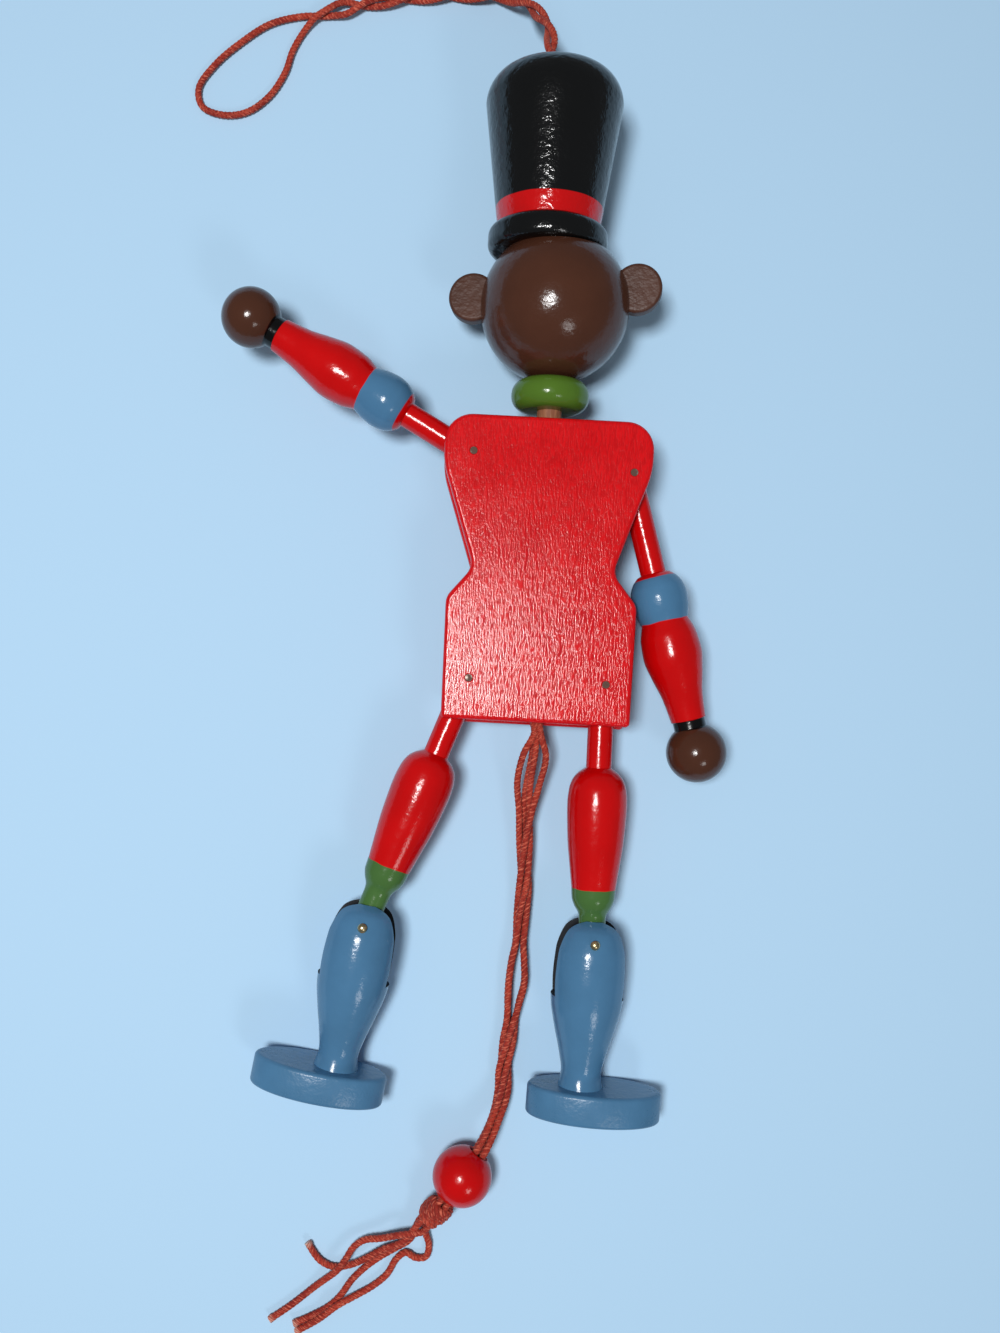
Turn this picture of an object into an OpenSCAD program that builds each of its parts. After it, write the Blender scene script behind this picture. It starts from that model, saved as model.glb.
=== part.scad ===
// Pull string jumping jack, a turned and sawn wooden figure, lying on its front with its limbs as they fell.
// Each piece is drawn flat on the bench, the boards' middle at the origin, +Y to the hat and +Z to the back.
// The whole figure is then laid down, so that the head and the feet rest on the ground at z = 0.

/* [Body boards] */
// Height of the two boards
board_h = 82.4; // [74:0.2:100]
// Thickness of one board
board_t = 4.5; // [3:0.1:8]
// Width across the shoulders
shoulder_w = 56.6; // [52:0.2:70]
// Width between the sawn corners of the waist
waist_w = 37.8; // [32:0.2:44]
// Width at the top of the hips
hip_w = 51.6; // [46:0.2:60]
// Width along the bottom edge
hem_w = 51; // [46:0.2:58]
// Rounding of the shoulders
shoulder_round = 7.5; // [4:0.5:10]
// How much lower the front board sits than the back one
front_drop = 1; // [0:0.1:2]

/* [Nails] */
// Diameter of the four nails that the limbs turn on
nail_d = 2; // [1.4:0.1:2.4]
// Diameter of a nail's head
nail_head_d = 3.8; // [3:0.1:5]
// Thickness of a nail's head
nail_head_t = 0.8; // [0.5:0.1:1.2]
// Depth of the nail's end below the back board's face
nail_dent = 0.2; // [0.1:0.1:0.5]
// Distance of the left shoulder nail from the middle
left_shoulder_x = 20.3; // [19.5:0.1:23]
// Distance of the right shoulder nail from the middle
right_shoulder_x = 23.2; // [20:0.1:24]
// Distance of the left shoulder nail below the top edge
left_shoulder_drop = 10; // [9:0.1:14]
// Distance of the right shoulder nail below the top edge
right_shoulder_drop = 13.7; // [11:0.1:15]
// Distance of the hip nails from the middle
hip_nail_x = 18.5; // [17:0.1:20]
// Distance of the hip nails above the bottom edge
hip_nail_rise = 11.2; // [8:0.1:14]
// Clearance round a nail or pin that a limb turns on
run_gap = 0.08; // [0.04:0.01:0.1]

/* [Neck and collar] */
// Diameter of the neck dowel
neck_d = 6.8; // [5:0.1:8]
// Length of neck dowel that shows
neck_show = 3.2; // [2:0.1:8]
// Depth of the neck dowel in the head
neck_in_head = 12; // [6:0.5:16]
// Diameter of the dowel's thin end in the neck block
neck_tenon_d = 4.2; // [3:0.1:5]
// Depth of the dowel's thin end in the neck block
neck_tenon_len = 13; // [8:0.5:15]
// Width of the neck block between the boards
block_w = 20; // [14:0.5:21]
// Height of the neck block
block_h = 17; // [16:0.5:20]
// Diameter of the collar
collar_d = 21.5; // [17:0.5:26]
// Thickness of the collar
collar_t = 8.5; // [5:0.5:10]

/* [Head and ears] */
// Diameter of the head
head_d = 41; // [34:0.5:46]
// Height of the head's flat seat above its middle
hat_seat = 14.3; // [10:0.1:16]
// Diameter of an ear
ear_d = 13.4; // [10:0.2:18]
// Thickness of an ear
ear_t = 4.6; // [3:0.1:6]
// Distance of an ear's middle outside the ball
ear_out = 2.4; // [2:0.1:6]
// Left ear, turned up round the head
left_ear_up = 6; // [0:0.5:20]
// Right ear, turned up round the head
right_ear_up = 13; // [0:0.5:20]
// Turn of the head on its neck
head_turn = 8; // [0:1:15]

/* [Hat] */
// Height of the hat
hat_h = 50; // [40:0.5:60]
// Distance of the hat's middle to the left of the neck's
hat_shift = 2.9; // [0:0.1:4]
// Diameter of the brim
brim_d = 33; // [30:0.2:40]
// Thickness of the brim
brim_t = 7; // [5:0.2:9]
// Rounding of the brim's edge
brim_round = 2.4; // [0.5:0.1:2.4]
// Diameter of the crown just above the brim
crown_foot_d = 28.2; // [24:0.2:30]
// Widest diameter of the crown
crown_d = 37.8; // [32:0.2:44]
// Rounding of the crown's top edge
crown_round = 9; // [5:0.5:12]
// Diameter of the cord hole in the top
cord_hole_d = 5; // [4.6:0.1:6]
// Diameter of the knot's room under the hat
knot_room_d = 10; // [8.6:0.2:14]
// Height of the knot's room
knot_room_h = 12; // [10:0.5:16]

/* [Arms] */
// Diameter of the dowel that arms and thighs are turned from
limb_d = 7; // [6:0.1:8]
// Clearance between a limb and a board
limb_gap = 0.3; // [0.2:0.05:0.6]
// Left nail to the elbow ball
left_shank = 21.8; // [18:0.1:32]
// Right nail to the elbow ball
right_shank = 27.6; // [18:0.1:32]
// Length of the elbow ball
ball_len = 13; // [10:0.5:16]
// Diameter of the elbow ball
ball_d = 15.5; // [12:0.5:19]
// Length of the forearm
forearm_len = 28; // [22:0.5:36]
// Widest diameter of the forearm
forearm_d = 16.2; // [13:0.1:20]
// Length of the cuff
cuff_len = 2.4; // [2:0.1:5]
// Diameter of the cuff
cuff_d = 8.8; // [8:0.1:11]
// Diameter of the hand
hand_d = 16.5; // [13:0.5:20]
// Length of an arm past its nail
arm_tail = 8.5; // [7.5:0.1:8.6]
// Nail to string hole in an arm
arm_eye = 5.5; // [5:0.1:6]
// Diameter of a string hole
eye_d = 2.4; // [2.2:0.1:2.8]

/* [Legs] */
// Left hip nail to knee pin
left_thigh_len = 73; // [69:0.5:80]
// Right hip nail to knee pin
right_thigh_len = 70; // [69.5:0.5:80]
// Bare neck between the left thigh's cup and its knee pin
left_neck_len = 8.5; // [7:0.5:12]
// Bare neck between the right thigh's cup and its knee pin
right_neck_len = 5.5; // [5:0.5:12]
// Hip nail to the start of the thigh's swell
thigh_shank = 23; // [18:0.5:26]
// Length of the swell, down to the cup
swell_len = 33; // [26:0.5:34]
// Widest diameter of the thigh
thigh_d = 16.5; // [13:0.5:20]
// Length of the cup above the knee
cup_len = 8.5; // [6:0.5:9]
// Diameter of the neck that goes into the shin
knee_neck_d = 7.4; // [6:0.1:8]
// Length of the neck past the knee pin
knee_tail = 4.5; // [4:0.1:6]
// Length of a thigh past its nail
leg_tail = 11; // [10:0.1:12]
// Nail to string hole in a thigh
leg_eye = 8; // [7:0.1:8.5]

/* [Shins and feet] */
// Height of the shin's top above the knee pin
shin_rise = 5.3; // [4.6:0.1:6]
// Knee pin to the top of the foot
shin_drop = 40.5; // [34:0.5:48]
// Widest diameter of the shin
shin_d = 20.5; // [18:0.5:24]
// Depth of the slot in the shin's top
slot_depth = 21; // [16:0.5:26]
// Clearance of the neck in the slot, on each side
slot_gap = 0.3; // [0.2:0.05:0.5]
// Diameter of the knee pin
pin_d = 1.9; // [1.4:0.1:2.4]
// Diameter of the knee pin's head
pin_head_d = 2.6; // [2.6:0.1:4]
// Height of the knee pin's head
pin_head_h = 0.7; // [0.4:0.1:1]
// Diameter of the peg under the shin
peg_d = 5.2; // [4:0.1:7]
// Length of the peg under the shin
peg_len = 6; // [4:0.5:7]
// Length of a foot
foot_l = 37; // [30:0.5:46]
// Width of a foot
foot_w = 20.5; // [16:0.5:24]
// Thickness of a foot
foot_t = 8.5; // [7.5:0.1:12]
// Distance of the foot's middle outside the shin
foot_shift = 4; // [0:0.5:8]

/* [Pose] */
// Left arm, turned up from hanging
left_arm_up = 119; // [90:1:145]
// Right arm, turned up from hanging
right_arm_up = 16.5; // [14:0.5:60]
// Left thigh, turned out from hanging
left_leg_out = 20; // [10:0.5:40]
// Right thigh, turned out from hanging
right_leg_out = 0.5; // [0:0.5:20]
// Left shin, turned in from the line of its thigh
left_knee_in = 11.5; // [0:0.5:25]
// Right shin, turned in from the line of its thigh
right_knee_in = 2; // [0:0.5:3]

/* [Cords and bead] */
// Diameter of one strand of string
strand_d = 2; // [1.6:0.1:2.1]
// Diameter of the four strands of the pull cord together
bundle_d = 5.2; // [4.4:0.1:5.6]
// Diameter of the bead
bead_d = 16.5; // [14:0.5:16.5]
// Diameter of the bead's hole
bead_hole_d = 6; // [5.6:0.1:8]
// Diameter of the knot below the bead
knot_d = 8; // [7:0.2:9]
// Length of the knot below the bead
knot_len = 8; // [6:0.2:9]

/* [Hidden] */
$fn = 64;
left = -1;
right = 1;
// Reach of a cut past the face that it leaves
overrun = 1;
// Steps in a rounded corner, and between two stations of a turned shape
arc_steps = 6;
turn_steps = 4;
tube_sides = 8;

// Colours
red = "#c40a0c";
black = "#121416";
blue = "#3a6789";
green = "#4e7644";
brown = "#46291e";
wood = "#be825a";
string_red = "#b23e2a";
brass = "#a8843c";
steel = "#8c8c90";

// Places on the bench
board_gap = limb_d + 2 * limb_gap;
board_z = board_gap / 2;
top_y = board_h / 2;
hip_y = hip_nail_rise - top_y;
collar_y = top_y + neck_show;
head_r = head_d / 2;
neck_r = neck_d / 2;
head_y = collar_y + collar_t + sqrt(head_r * head_r - neck_r * neck_r);
hat_y = head_y + hat_seat;
limb_r = limb_d / 2;
hand_r = hand_d / 2;
cuff_r = cuff_d / 2;
hand_at = ball_len + forearm_len + cuff_len + sqrt(hand_r * hand_r - cuff_r * cuff_r);
shin_r = shin_d / 2;
slot_w = knee_neck_d + 2 * slot_gap;
strand_r = strand_d / 2;
bundle_r = bundle_d / 2;

// The boards' outline, right half, from the top: across as widths, along as shares of the height
taper_share = 0.34;
hip_share = -0.102;
waist_round = 5;
hip_round = 5;
taper_round = 22;
hem_round = 1.2;
half_outline = [
    [shoulder_w / 2, top_y],
    [shoulder_w / 2, board_h * taper_share],
    [waist_w / 2, 0],
    [hip_w / 2, board_h * hip_share],
    [hem_w / 2, -top_y]
];
half_rounds = [shoulder_round, taper_round, waist_round, hip_round, hem_round];

// Turned shapes: stations as shares of the length and of the widest radius
ball_shares = [[0, 0.6], [0.12, 0.8], [0.3, 0.95], [0.5, 1], [0.75, 0.96], [1, 0.85]];
forearm_shares = [[0, 0.8], [0.14, 0.95], [0.33, 1], [0.54, 0.87], [0.76, 0.69], [1, 0.59]];
swell_shares = [
    [0, 0.46], [0.04, 0.68], [0.1, 0.86], [0.18, 0.96], [0.3, 1], [0.6, 0.94], [0.85, 0.82], [1, 0.74]
];
cup_shares = [[0, 1], [0.3, 0.97], [0.55, 0.86], [0.78, 0.68], [0.88, 0.63], [1, 0.61]];
shin_shares = [
    [0, 0.44], [0.03, 0.66], [0.06, 0.78], [0.12, 0.89], [0.2, 0.97], [0.35, 1],
    [0.5, 0.96], [0.65, 0.82], [0.81, 0.63], [0.92, 0.54], [1, 0.6]
];
// Rounding at a dowel's inner end, as a share of its radius
end_round_share = 0.4;

// How the figure lies: on its head and on the lower foot
left_sole_y = sole_y(left, left_leg_out, left_knee_in);
right_sole_y = sole_y(right, right_leg_out, right_knee_in);
lay_tilt = asin((head_r - foot_w / 2) / (head_y - min(left_sole_y, right_sole_y)));
lay_z = head_r - head_y * sin(lay_tilt);
left_x = -left_shoulder_x - (left_shank + hand_at) * sin(left_arm_up) - hand_r;
right_x = right_shoulder_x + (right_shank + hand_at) * sin(right_arm_up) + hand_r;
lay_x = -(left_x + right_x) / 2;
lay_y = -(hat_y + hat_h + min(left_sole_y, right_sole_y)) / 2;

// Cord routes: inner points on the bench, outer points on the ground under the boards' middle
left_arm_run = [[-18, 17, 1], [-10, -2, 1.3], [-3, -22, 1.3], [-1.3, -30, 1.3], [-1.3, -33.7, 1.3]];
right_arm_run = [[13, 27, 1], [8, 8, 1.3], [3, -20, 1.3], [1.3, -30, 1.3], [1.3, -33.7, 1.3]];
left_leg_run = [[-7, -25.5, -1], [-3, -28, -1.3], [-1.3, -31, -1.3], [-1.3, -33.7, -1.3]];
right_leg_run = [[8, -24, -1], [3, -27.5, -1.3], [1.3, -31, -1.3], [1.3, -33.7, -1.3]];
pull_inner = [[0, -34, 0], [0, -43, 0]];
pull_run = [
    [0, -54, 12.5], [0, -66, 8], [0, -78, 4.7], [0, -90, 3.1], [0, -103, 2.8], [0, -116, 2.8],
    [-1, -130, 2.8], [-3.5, -142, 3.4], [-6, -152, 5.8]
];
bead_at = [-13, -167.5, 8.3];
bead_dir = [-0.55, -0.84, 0];
bead_reach = 9;
knot_at = [-20.6, -178.8, 6];
hang_stem = [
    [-4, 144.5, 20.5], [-5.8, 150.5, 15.5], [-7.8, 156.5, 9.6], [-10, 162.5, 5],
    [-13.5, 168.5, 2.2], [-20.5, 172, 1.2],
    [-30, 172.5, 1.1], [-40, 171.5, 1.1], [-50, 170, 1.1], [-60, 168, 1.1], [-69, 165.5, 1.1]
];
hang_loop = [
    [-77, 165, 1.1], [-84.5, 162.5, 1.1], [-92, 158, 1.1], [-98.5, 152.5, 1.1], [-103.5, 147, 1.1],
    [-106.5, 140.5, 1.1], [-104.5, 135, 1.1], [-99, 133, 1.1], [-92.5, 134.5, 1.1], [-87, 139, 1.1],
    [-83.5, 145, 1.1], [-80.5, 151.5, 1.1], [-77, 158, 1.1], [-72.5, 162.5, 1.1]
];
hang_side = 1.2;
curled_run = [
    [-29, -184.5, 3.4], [-34, -187.5, 1.8], [-40, -188.7, 1.1], [-44.5, -192.5, 1.1], [-48.5, -195.2, 1.1],
    [-53, -193, 1.1], [-55.5, -189.5, 1.1]
];
long_run = [
    [-29.5, -187.2, 4], [-34, -190.3, 2.4], [-39, -193, 1.1], [-44.5, -197.5, 1.1], [-51.5, -203, 1.1],
    [-59, -208, 1.1], [-66, -214, 1.1]
];
middle_run = [
    [-29, -188.6, 1.3], [-34.5, -193, 1.1], [-39.5, -196, 1.1], [-43, -200, 1.1], [-47, -204.5, 1.1],
    [-53, -209, 1.1], [-59, -213.5, 1.1]
];
bent_run = [
    [-22.8, -187.5, 1.6], [-22, -191, 1.1], [-24, -193.8, 1.1], [-27, -193.2, 1.1], [-30, -194.2, 1.1],
    [-34, -199.5, 1.1], [-41, -204.8, 1.1], [-50, -210, 1.1], [-57, -215.5, 1.1]
];
end_side = 1.25;

function pick(side, l, r) = side < 0 ? l : r;
function shoulder_at(side) = [
    side * pick(side, left_shoulder_x, right_shoulder_x),
    top_y - pick(side, left_shoulder_drop, right_shoulder_drop)
];
function thigh_len(side) = pick(side, left_thigh_len, right_thigh_len);
function neck_len(side) = pick(side, left_neck_len, right_neck_len);
// How far the turned part of a thigh is drawn out, to reach from its nail to the neck
function thigh_fit_share(side) = (thigh_len(side) - neck_len(side)) / (thigh_shank + swell_len + cup_len);
function sole_y(side, out, in) =
    hip_y - thigh_len(side) * cos(out) - (shin_drop + foot_t) * cos(out - in);
function unit(v) = v / norm(v);
function last(list) = list[len(list) - 1];
function turn(p, angle) =
    [p.x * cos(angle) - p.y * sin(angle), p.x * sin(angle) + p.y * cos(angle)];
function half_turn(angle) = angle > 180 ? angle - 360 : angle < -180 ? angle + 360 : angle;

// Arc of radius r that rounds the corner b between a and c
function corner_arc(a, b, c, r) =
    let (u = unit(a - b), w = unit(c - b), half = acos(u * w) / 2)
    let (m = b + unit(u + w) * r / sin(half), p = b + u * r / tan(half) - m, q = b + w * r / tan(half) - m)
    let (from = atan2(p.y, p.x), sweep = half_turn(atan2(q.y, q.x) - from))
    [for (i = [0 : arc_steps]) let (a = from + sweep * i / arc_steps) m + r * [cos(a), sin(a)]];

function rounded(points, rounds) =
    let (n = len(points))
    [for (i = [0 : n - 1])
        each corner_arc(points[(i + n - 1) % n], points[i], points[(i + 1) % n], rounds[i])];

function flipped(list) = [for (i = [len(list) - 1 : -1 : 0]) list[i]];

// Smooth line through the stations
function smooth_at(a, b, c, d, u) =
    (2 * b + (c - a) * u + (2 * a - 5 * b + 4 * c - d) * u * u + (3 * b - a - 3 * c + d) * u * u * u) / 2;
function smooth(s) =
    let (n = len(s) - 1)
    [for (i = [0 : n - 1]) for (k = [0 : turn_steps - 1])
        smooth_at(s[max(i - 1, 0)], s[i], s[i + 1], s[min(i + 2, n)], k / turn_steps), s[n]];
function stations(from, length, radius, shares) =
    [for (s = shares) [radius * s.y, from + length * s.x]];

// Quarter of a circle, as points of a turned outline
function quarter(r, at, from) =
    [for (i = [0 : arc_steps]) at + r * [cos(from + 90 * i / arc_steps), sin(from + 90 * i / arc_steps)]];

// Round inner end of a dowel that starts at y = from
function dowel_end(r, from) =
    let (e = r * end_round_share)
    concat([[0, from]], quarter(e, [r - e, from + e], -90));

// Point of the bench, and of the ground under the boards' middle, in the lying figure's frame
function laid_point(p) =
    [p.x + lay_x, p.y * cos(lay_tilt) - p.z * sin(lay_tilt) + lay_y,
     p.y * sin(lay_tilt) + p.z * cos(lay_tilt) + lay_z];
function ground_point(p) = p + [lay_x, lay_y, 0];

// Tube along a route: one ring at each point, square to the route there
function heading(route, i) = unit(route[min(i + 1, len(route) - 1)] - route[max(i - 1, 0)]);
function tube_ring(route, i, r) =
    let (t = heading(route, i), s = unit(cross(t, [0, 0, 1])), u = cross(s, t))
    [for (k = [0 : tube_sides - 1])
        route[i] + r * (cos(360 * k / tube_sides) * s + sin(360 * k / tube_sides) * u)];

module tube(route, r) {
    n = len(route);
    m = tube_sides;
    points = [for (i = [0 : n - 1]) each tube_ring(route, i, r)];
    side_faces = [for (i = [0 : n - 2]) for (k = [0 : m - 1])
        each [[i * m + k, i * m + (k + 1) % m, (i + 1) * m + (k + 1) % m],
              [i * m + k, (i + 1) * m + (k + 1) % m, (i + 1) * m + k]]];
    start_faces = [for (k = [1 : m - 2]) [0, k + 1, k]];
    end_faces = [for (k = [1 : m - 2]) [(n - 1) * m, (n - 1) * m + k, (n - 1) * m + k + 1]];
    polyhedron(points, concat(side_faces, start_faces, end_faces));
}

module laid() {
    translate([lay_x, lay_y, lay_z]) rotate([lay_tilt, 0, 0]) children();
}

// Turns an outline of [radius, distance] points about the axis that runs down from the nail or pin
module turned(outline) {
    rotate([90, 0, 0]) rotate_extrude() polygon(outline);
}

// Turns an outline of [radius, height] points about the neck's axis
module turned_up(outline) {
    rotate([-90, 0, 0]) rotate_extrude() polygon(outline);
}

module at_shoulder(side) {
    translate(shoulder_at(side))
        rotate([0, 0, side * pick(side, left_arm_up, right_arm_up)]) children();
}

module at_hip(side) {
    translate([side * hip_nail_x, hip_y, 0])
        rotate([0, 0, side * pick(side, left_leg_out, right_leg_out)]) children();
}

module at_knee(side) {
    at_hip(side) translate([0, -thigh_len(side), 0])
        rotate([0, 0, -side * pick(side, left_knee_in, right_knee_in)]) children();
}

module cross_hole(d, length) {
    translate([0, 0, -length / 2 - overrun]) cylinder(d = d, h = length + 2 * overrun);
}

module each_nail() {
    for (side = [left, right]) {
        translate(shoulder_at(side)) children();
        translate([side * hip_nail_x, hip_y, 0]) children();
    }
}

module board_plate() {
    left_half = [for (p = flipped(half_outline)) [-p.x, p.y]];
    linear_extrude(board_t)
        polygon(rounded(concat(half_outline, left_half), concat(half_rounds, flipped(half_rounds))));
}

module back_board() {
    color(red) laid() difference() {
        translate([0, 0, board_z]) board_plate();
        each_nail() translate([0, 0, board_z - overrun]) cylinder(d = nail_d, h = board_t + 2 * overrun);
    }
}

module front_board() {
    color(red) laid() difference() {
        translate([0, -front_drop, -board_z - board_t]) board_plate();
        each_nail() translate([0, 0, -board_z - board_t - overrun])
            cylinder(d = nail_d, h = board_t + 2 * overrun);
    }
}

module neck_block() {
    color(wood) laid() difference() {
        translate([-block_w / 2, top_y - block_h - front_drop, -board_z]) cube([block_w, block_h, board_gap]);
        translate([0, top_y - front_drop + overrun, 0]) rotate([90, 0, 0])
            cylinder(d = neck_tenon_d, h = neck_tenon_len + overrun);
    }
}

module neck_dowel() {
    tenon_r = neck_tenon_d / 2;
    block_top = top_y - front_drop;
    tenon_foot = block_top - neck_tenon_len;
    neck_top = collar_y + collar_t + neck_in_head;
    color(wood) laid() turned_up([
        [0, tenon_foot], [tenon_r, tenon_foot], [tenon_r, block_top],
        [neck_r, block_top], [neck_r, neck_top], [0, neck_top]
    ]);
}

module collar() {
    edge_r = collar_t / 2;
    edge_at = [collar_d / 2 - edge_r, collar_y + edge_r];
    color(green) laid() turned_up(concat(
        [[neck_r, collar_y]], quarter(edge_r, edge_at, -90), quarter(edge_r, edge_at, 0),
        [[neck_r, collar_y + collar_t]]
    ));
}

module head() {
    steps = 6 * arc_steps;
    from = asin(neck_r / head_r);
    seat = acos(hat_seat / head_r);
    ball = [for (i = [0 : steps])
        let (a = 180 - from - (180 - from - seat) * i / steps) [head_r * sin(a), head_y + head_r * cos(a)]];
    neck_top = collar_y + collar_t + neck_in_head;
    color(brown) laid() turned_up(concat(ball, [[0, hat_y], [0, neck_top], [neck_r, neck_top]]));
}

module ear(side) {
    color(brown) laid() difference() {
        translate([0, head_y, 0]) rotate([0, -head_turn, side * pick(side, left_ear_up, right_ear_up)])
            translate([side * (head_r + ear_out), 0, -ear_t / 2]) cylinder(d = ear_d, h = ear_t);
        translate([0, head_y, 0]) sphere(r = head_r);
    }
}

module hat() {
    brim_r = brim_d / 2;
    crown_r = crown_d / 2;
    hole_r = cord_hole_d / 2;
    room_r = knot_room_d / 2;
    color(black) laid() translate([-hat_shift, hat_y, 0]) turned_up(concat(
        [[room_r, 0]],
        quarter(brim_round, [brim_r - brim_round, brim_round], -90),
        quarter(brim_round, [brim_r - brim_round, brim_t - brim_round], 0),
        [[crown_foot_d / 2, brim_t]],
        quarter(crown_round, [crown_r - crown_round, hat_h - crown_round], 0),
        [[hole_r, hat_h], [hole_r, knot_room_h], [room_r, knot_room_h]]
    ));
}

module nail(at) {
    stem = 2 * board_z + 2 * board_t - nail_dent;
    color(steel) laid() translate([at.x, at.y, -board_z - board_t]) {
        cylinder(d = nail_d, h = stem);
        translate([0, 0, -nail_head_t]) cylinder(d = nail_head_d, h = nail_head_t);
    }
}

module arm(side) {
    shank = pick(side, left_shank, right_shank);
    cuff_foot = shank + ball_len + forearm_len;
    hand_mid = shank + hand_at;
    hand_start = acos((cuff_foot + cuff_len - hand_mid) / hand_r);
    hand_steps = 3 * arc_steps;
    hand_arc = [for (i = [0 : hand_steps])
        let (a = hand_start * (1 - i / hand_steps)) [hand_r * sin(a), hand_mid + hand_r * cos(a)]];
    color(red) laid() at_shoulder(side) difference() {
        turned(concat(
            dowel_end(limb_r, -arm_tail),
            [[limb_r, shank - limb_r * end_round_share]],
            smooth(stations(shank, ball_len, ball_d / 2, ball_shares)),
            smooth(stations(shank + ball_len, forearm_len, forearm_d / 2, forearm_shares)),
            [[cuff_r, cuff_foot]],
            hand_arc
        ));
        cross_hole(nail_d + 2 * run_gap, limb_d);
        translate([0, arm_eye, 0]) rotate([0, 90, 0]) cross_hole(eye_d, limb_d);
    }
}

module thigh(side) {
    neck_r = knee_neck_d / 2;
    fit_share = thigh_fit_share(side);
    swell_from = thigh_shank * fit_share;
    cup_from = swell_from + swell_len * fit_share;
    cup_end = cup_from + cup_len * fit_share;
    swell_foot_r = thigh_d / 2 * last(swell_shares).y;
    neck_end = thigh_len(side) + knee_tail;
    color(red) laid() at_hip(side) difference() {
        turned(concat(
            dowel_end(limb_r, -leg_tail),
            smooth(stations(swell_from, swell_len * fit_share, thigh_d / 2, swell_shares)),
            smooth(stations(cup_from, cup_len * fit_share, swell_foot_r, cup_shares)),
            [[neck_r, cup_end]],
            flipped([for (p = dowel_end(neck_r, 0)) [p.x, neck_end - p.y]])
        ));
        cross_hole(nail_d + 2 * run_gap, limb_d);
        translate([0, leg_eye, 0]) rotate([0, 90, 0]) cross_hole(eye_d, limb_d);
        translate([0, -thigh_len(side), 0]) cross_hole(pin_d + 2 * run_gap, knee_neck_d);
    }
}

module shin(side) {
    peg_foot = shin_drop + peg_len;
    color(blue) laid() at_knee(side) difference() {
        turned(concat(
            [[0, -shin_rise]],
            smooth(stations(-shin_rise, shin_rise + shin_drop, shin_r, shin_shares)),
            [[peg_d / 2, shin_drop], [peg_d / 2, peg_foot], [0, peg_foot]]
        ));
        translate([-shin_r - overrun, shin_rise - slot_depth, -slot_w / 2])
            cube([shin_d + 2 * overrun, slot_depth + overrun, slot_w]);
        cross_hole(pin_d, shin_d);
    }
}

// Half thickness of the shin at a distance below the knee pin
function cheek_z(below) =
    let (line = smooth(stations(-shin_rise, shin_rise + shin_drop, shin_r, shin_shares)))
    lookup(below, [for (p = line) [p.y, p.x]]);

module knee_pin(side) {
    foot_z = cheek_z(0);
    seat_z = cheek_z(pin_head_d / 2);
    dome_r = (pin_head_d * pin_head_d / 4 + pin_head_h * pin_head_h) / (2 * pin_head_h);
    color(brass) laid() at_knee(side) {
        translate([0, 0, -foot_z]) cylinder(d = pin_d, h = foot_z + seat_z + pin_head_h / 2);
        translate([0, 0, seat_z]) intersection() {
            cylinder(d = pin_head_d, h = pin_head_h);
            translate([0, 0, pin_head_h - dome_r]) sphere(r = dome_r);
        }
    }
}

module foot(side) {
    steps = 8 * arc_steps;
    oval = [for (i = [0 : steps - 1])
        let (a = 360 * i / steps) [foot_l / 2 * cos(a), foot_w / 2 * sin(a)]];
    color(blue) laid() at_knee(side) translate([0, -shin_drop, 0]) rotate([90, 0, 0]) difference() {
        translate([side * foot_shift, 0, 0]) linear_extrude(foot_t) polygon(oval);
        translate([0, 0, -overrun]) cylinder(d = peg_d, h = peg_len + overrun);
    }
}

// Inner string: out of the hole in the limb's inner end, on its inner side, and down to the pull cord
module inner_string(side, nail_at, angle, eye, run) {
    hole = nail_at + turn([0, eye], side * angle);
    mouth = nail_at + turn([-side * (limb_r + overrun), eye], side * angle);
    route = concat([[hole.x, hole.y, 0], [mouth.x, mouth.y, 0]], run);
    color(string_red) tube([for (p = route) laid_point(p)], strand_r);
}

module left_arm_string() {
    inner_string(left, shoulder_at(left), left_arm_up, arm_eye, left_arm_run);
}

module right_arm_string() {
    inner_string(right, shoulder_at(right), right_arm_up, arm_eye, right_arm_run);
}

module left_leg_string() {
    inner_string(left, [-hip_nail_x, hip_y], left_leg_out, leg_eye, left_leg_run);
}

module right_leg_string() {
    inner_string(right, [hip_nail_x, hip_y], right_leg_out, leg_eye, right_leg_run);
}

// Doubled hanging cord: out of the hat on one side of the stem's line, round the loop and back on the other
module hang_cord() {
    inner_y = hat_y + knot_room_h;
    stem = concat(
        [laid_point([-hat_shift, inner_y, 0]), laid_point([-hat_shift, hat_y + hat_h, 0])],
        [for (p = hang_stem) ground_point(p)]
    );
    sides = [for (i = [0 : len(stem) - 1]) hang_side * unit(cross(heading(stem, i), [0, 0, 1]))];
    out = [for (i = [0 : len(stem) - 1]) stem[i] + sides[i]];
    back = [for (i = [0 : len(stem) - 1]) stem[i] - sides[i]];
    color(string_red) tube(concat(out, [for (p = hang_loop) ground_point(p)], flipped(back)), strand_r);
}

// Barrel shape of a knot, from z = 0 up
module knot_barrel(d, length) {
    end_share = 0.72;
    barrel = [for (i = [0 : arc_steps])
        let (u = i / arc_steps) [d / 2 * (end_share + (1 - end_share) * sin(180 * u)), length * u]];
    rotate_extrude() polygon(concat([[0, 0]], barrel, [[0, length]]));
}

module hang_knot() {
    color(string_red) laid() translate([-hat_shift, hat_y + knot_room_h, 0]) rotate([90, 0, 0])
        knot_barrel(knot_d, knot_len);
}

function bead_mouth(sign) = bead_at + sign * bead_reach * unit(bead_dir);
function knot_dir() = unit(knot_at - bead_mouth(1));
function knot_face(sign) = knot_at + sign * knot_len / 2 * knot_dir();

module pull_cord() {
    route = concat(
        [for (p = pull_inner) laid_point(p)],
        [for (p = concat(pull_run, [bead_mouth(-1), bead_mouth(1), knot_face(-1)])) ground_point(p)]
    );
    color(string_red) tube(route, bundle_r);
}

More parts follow.
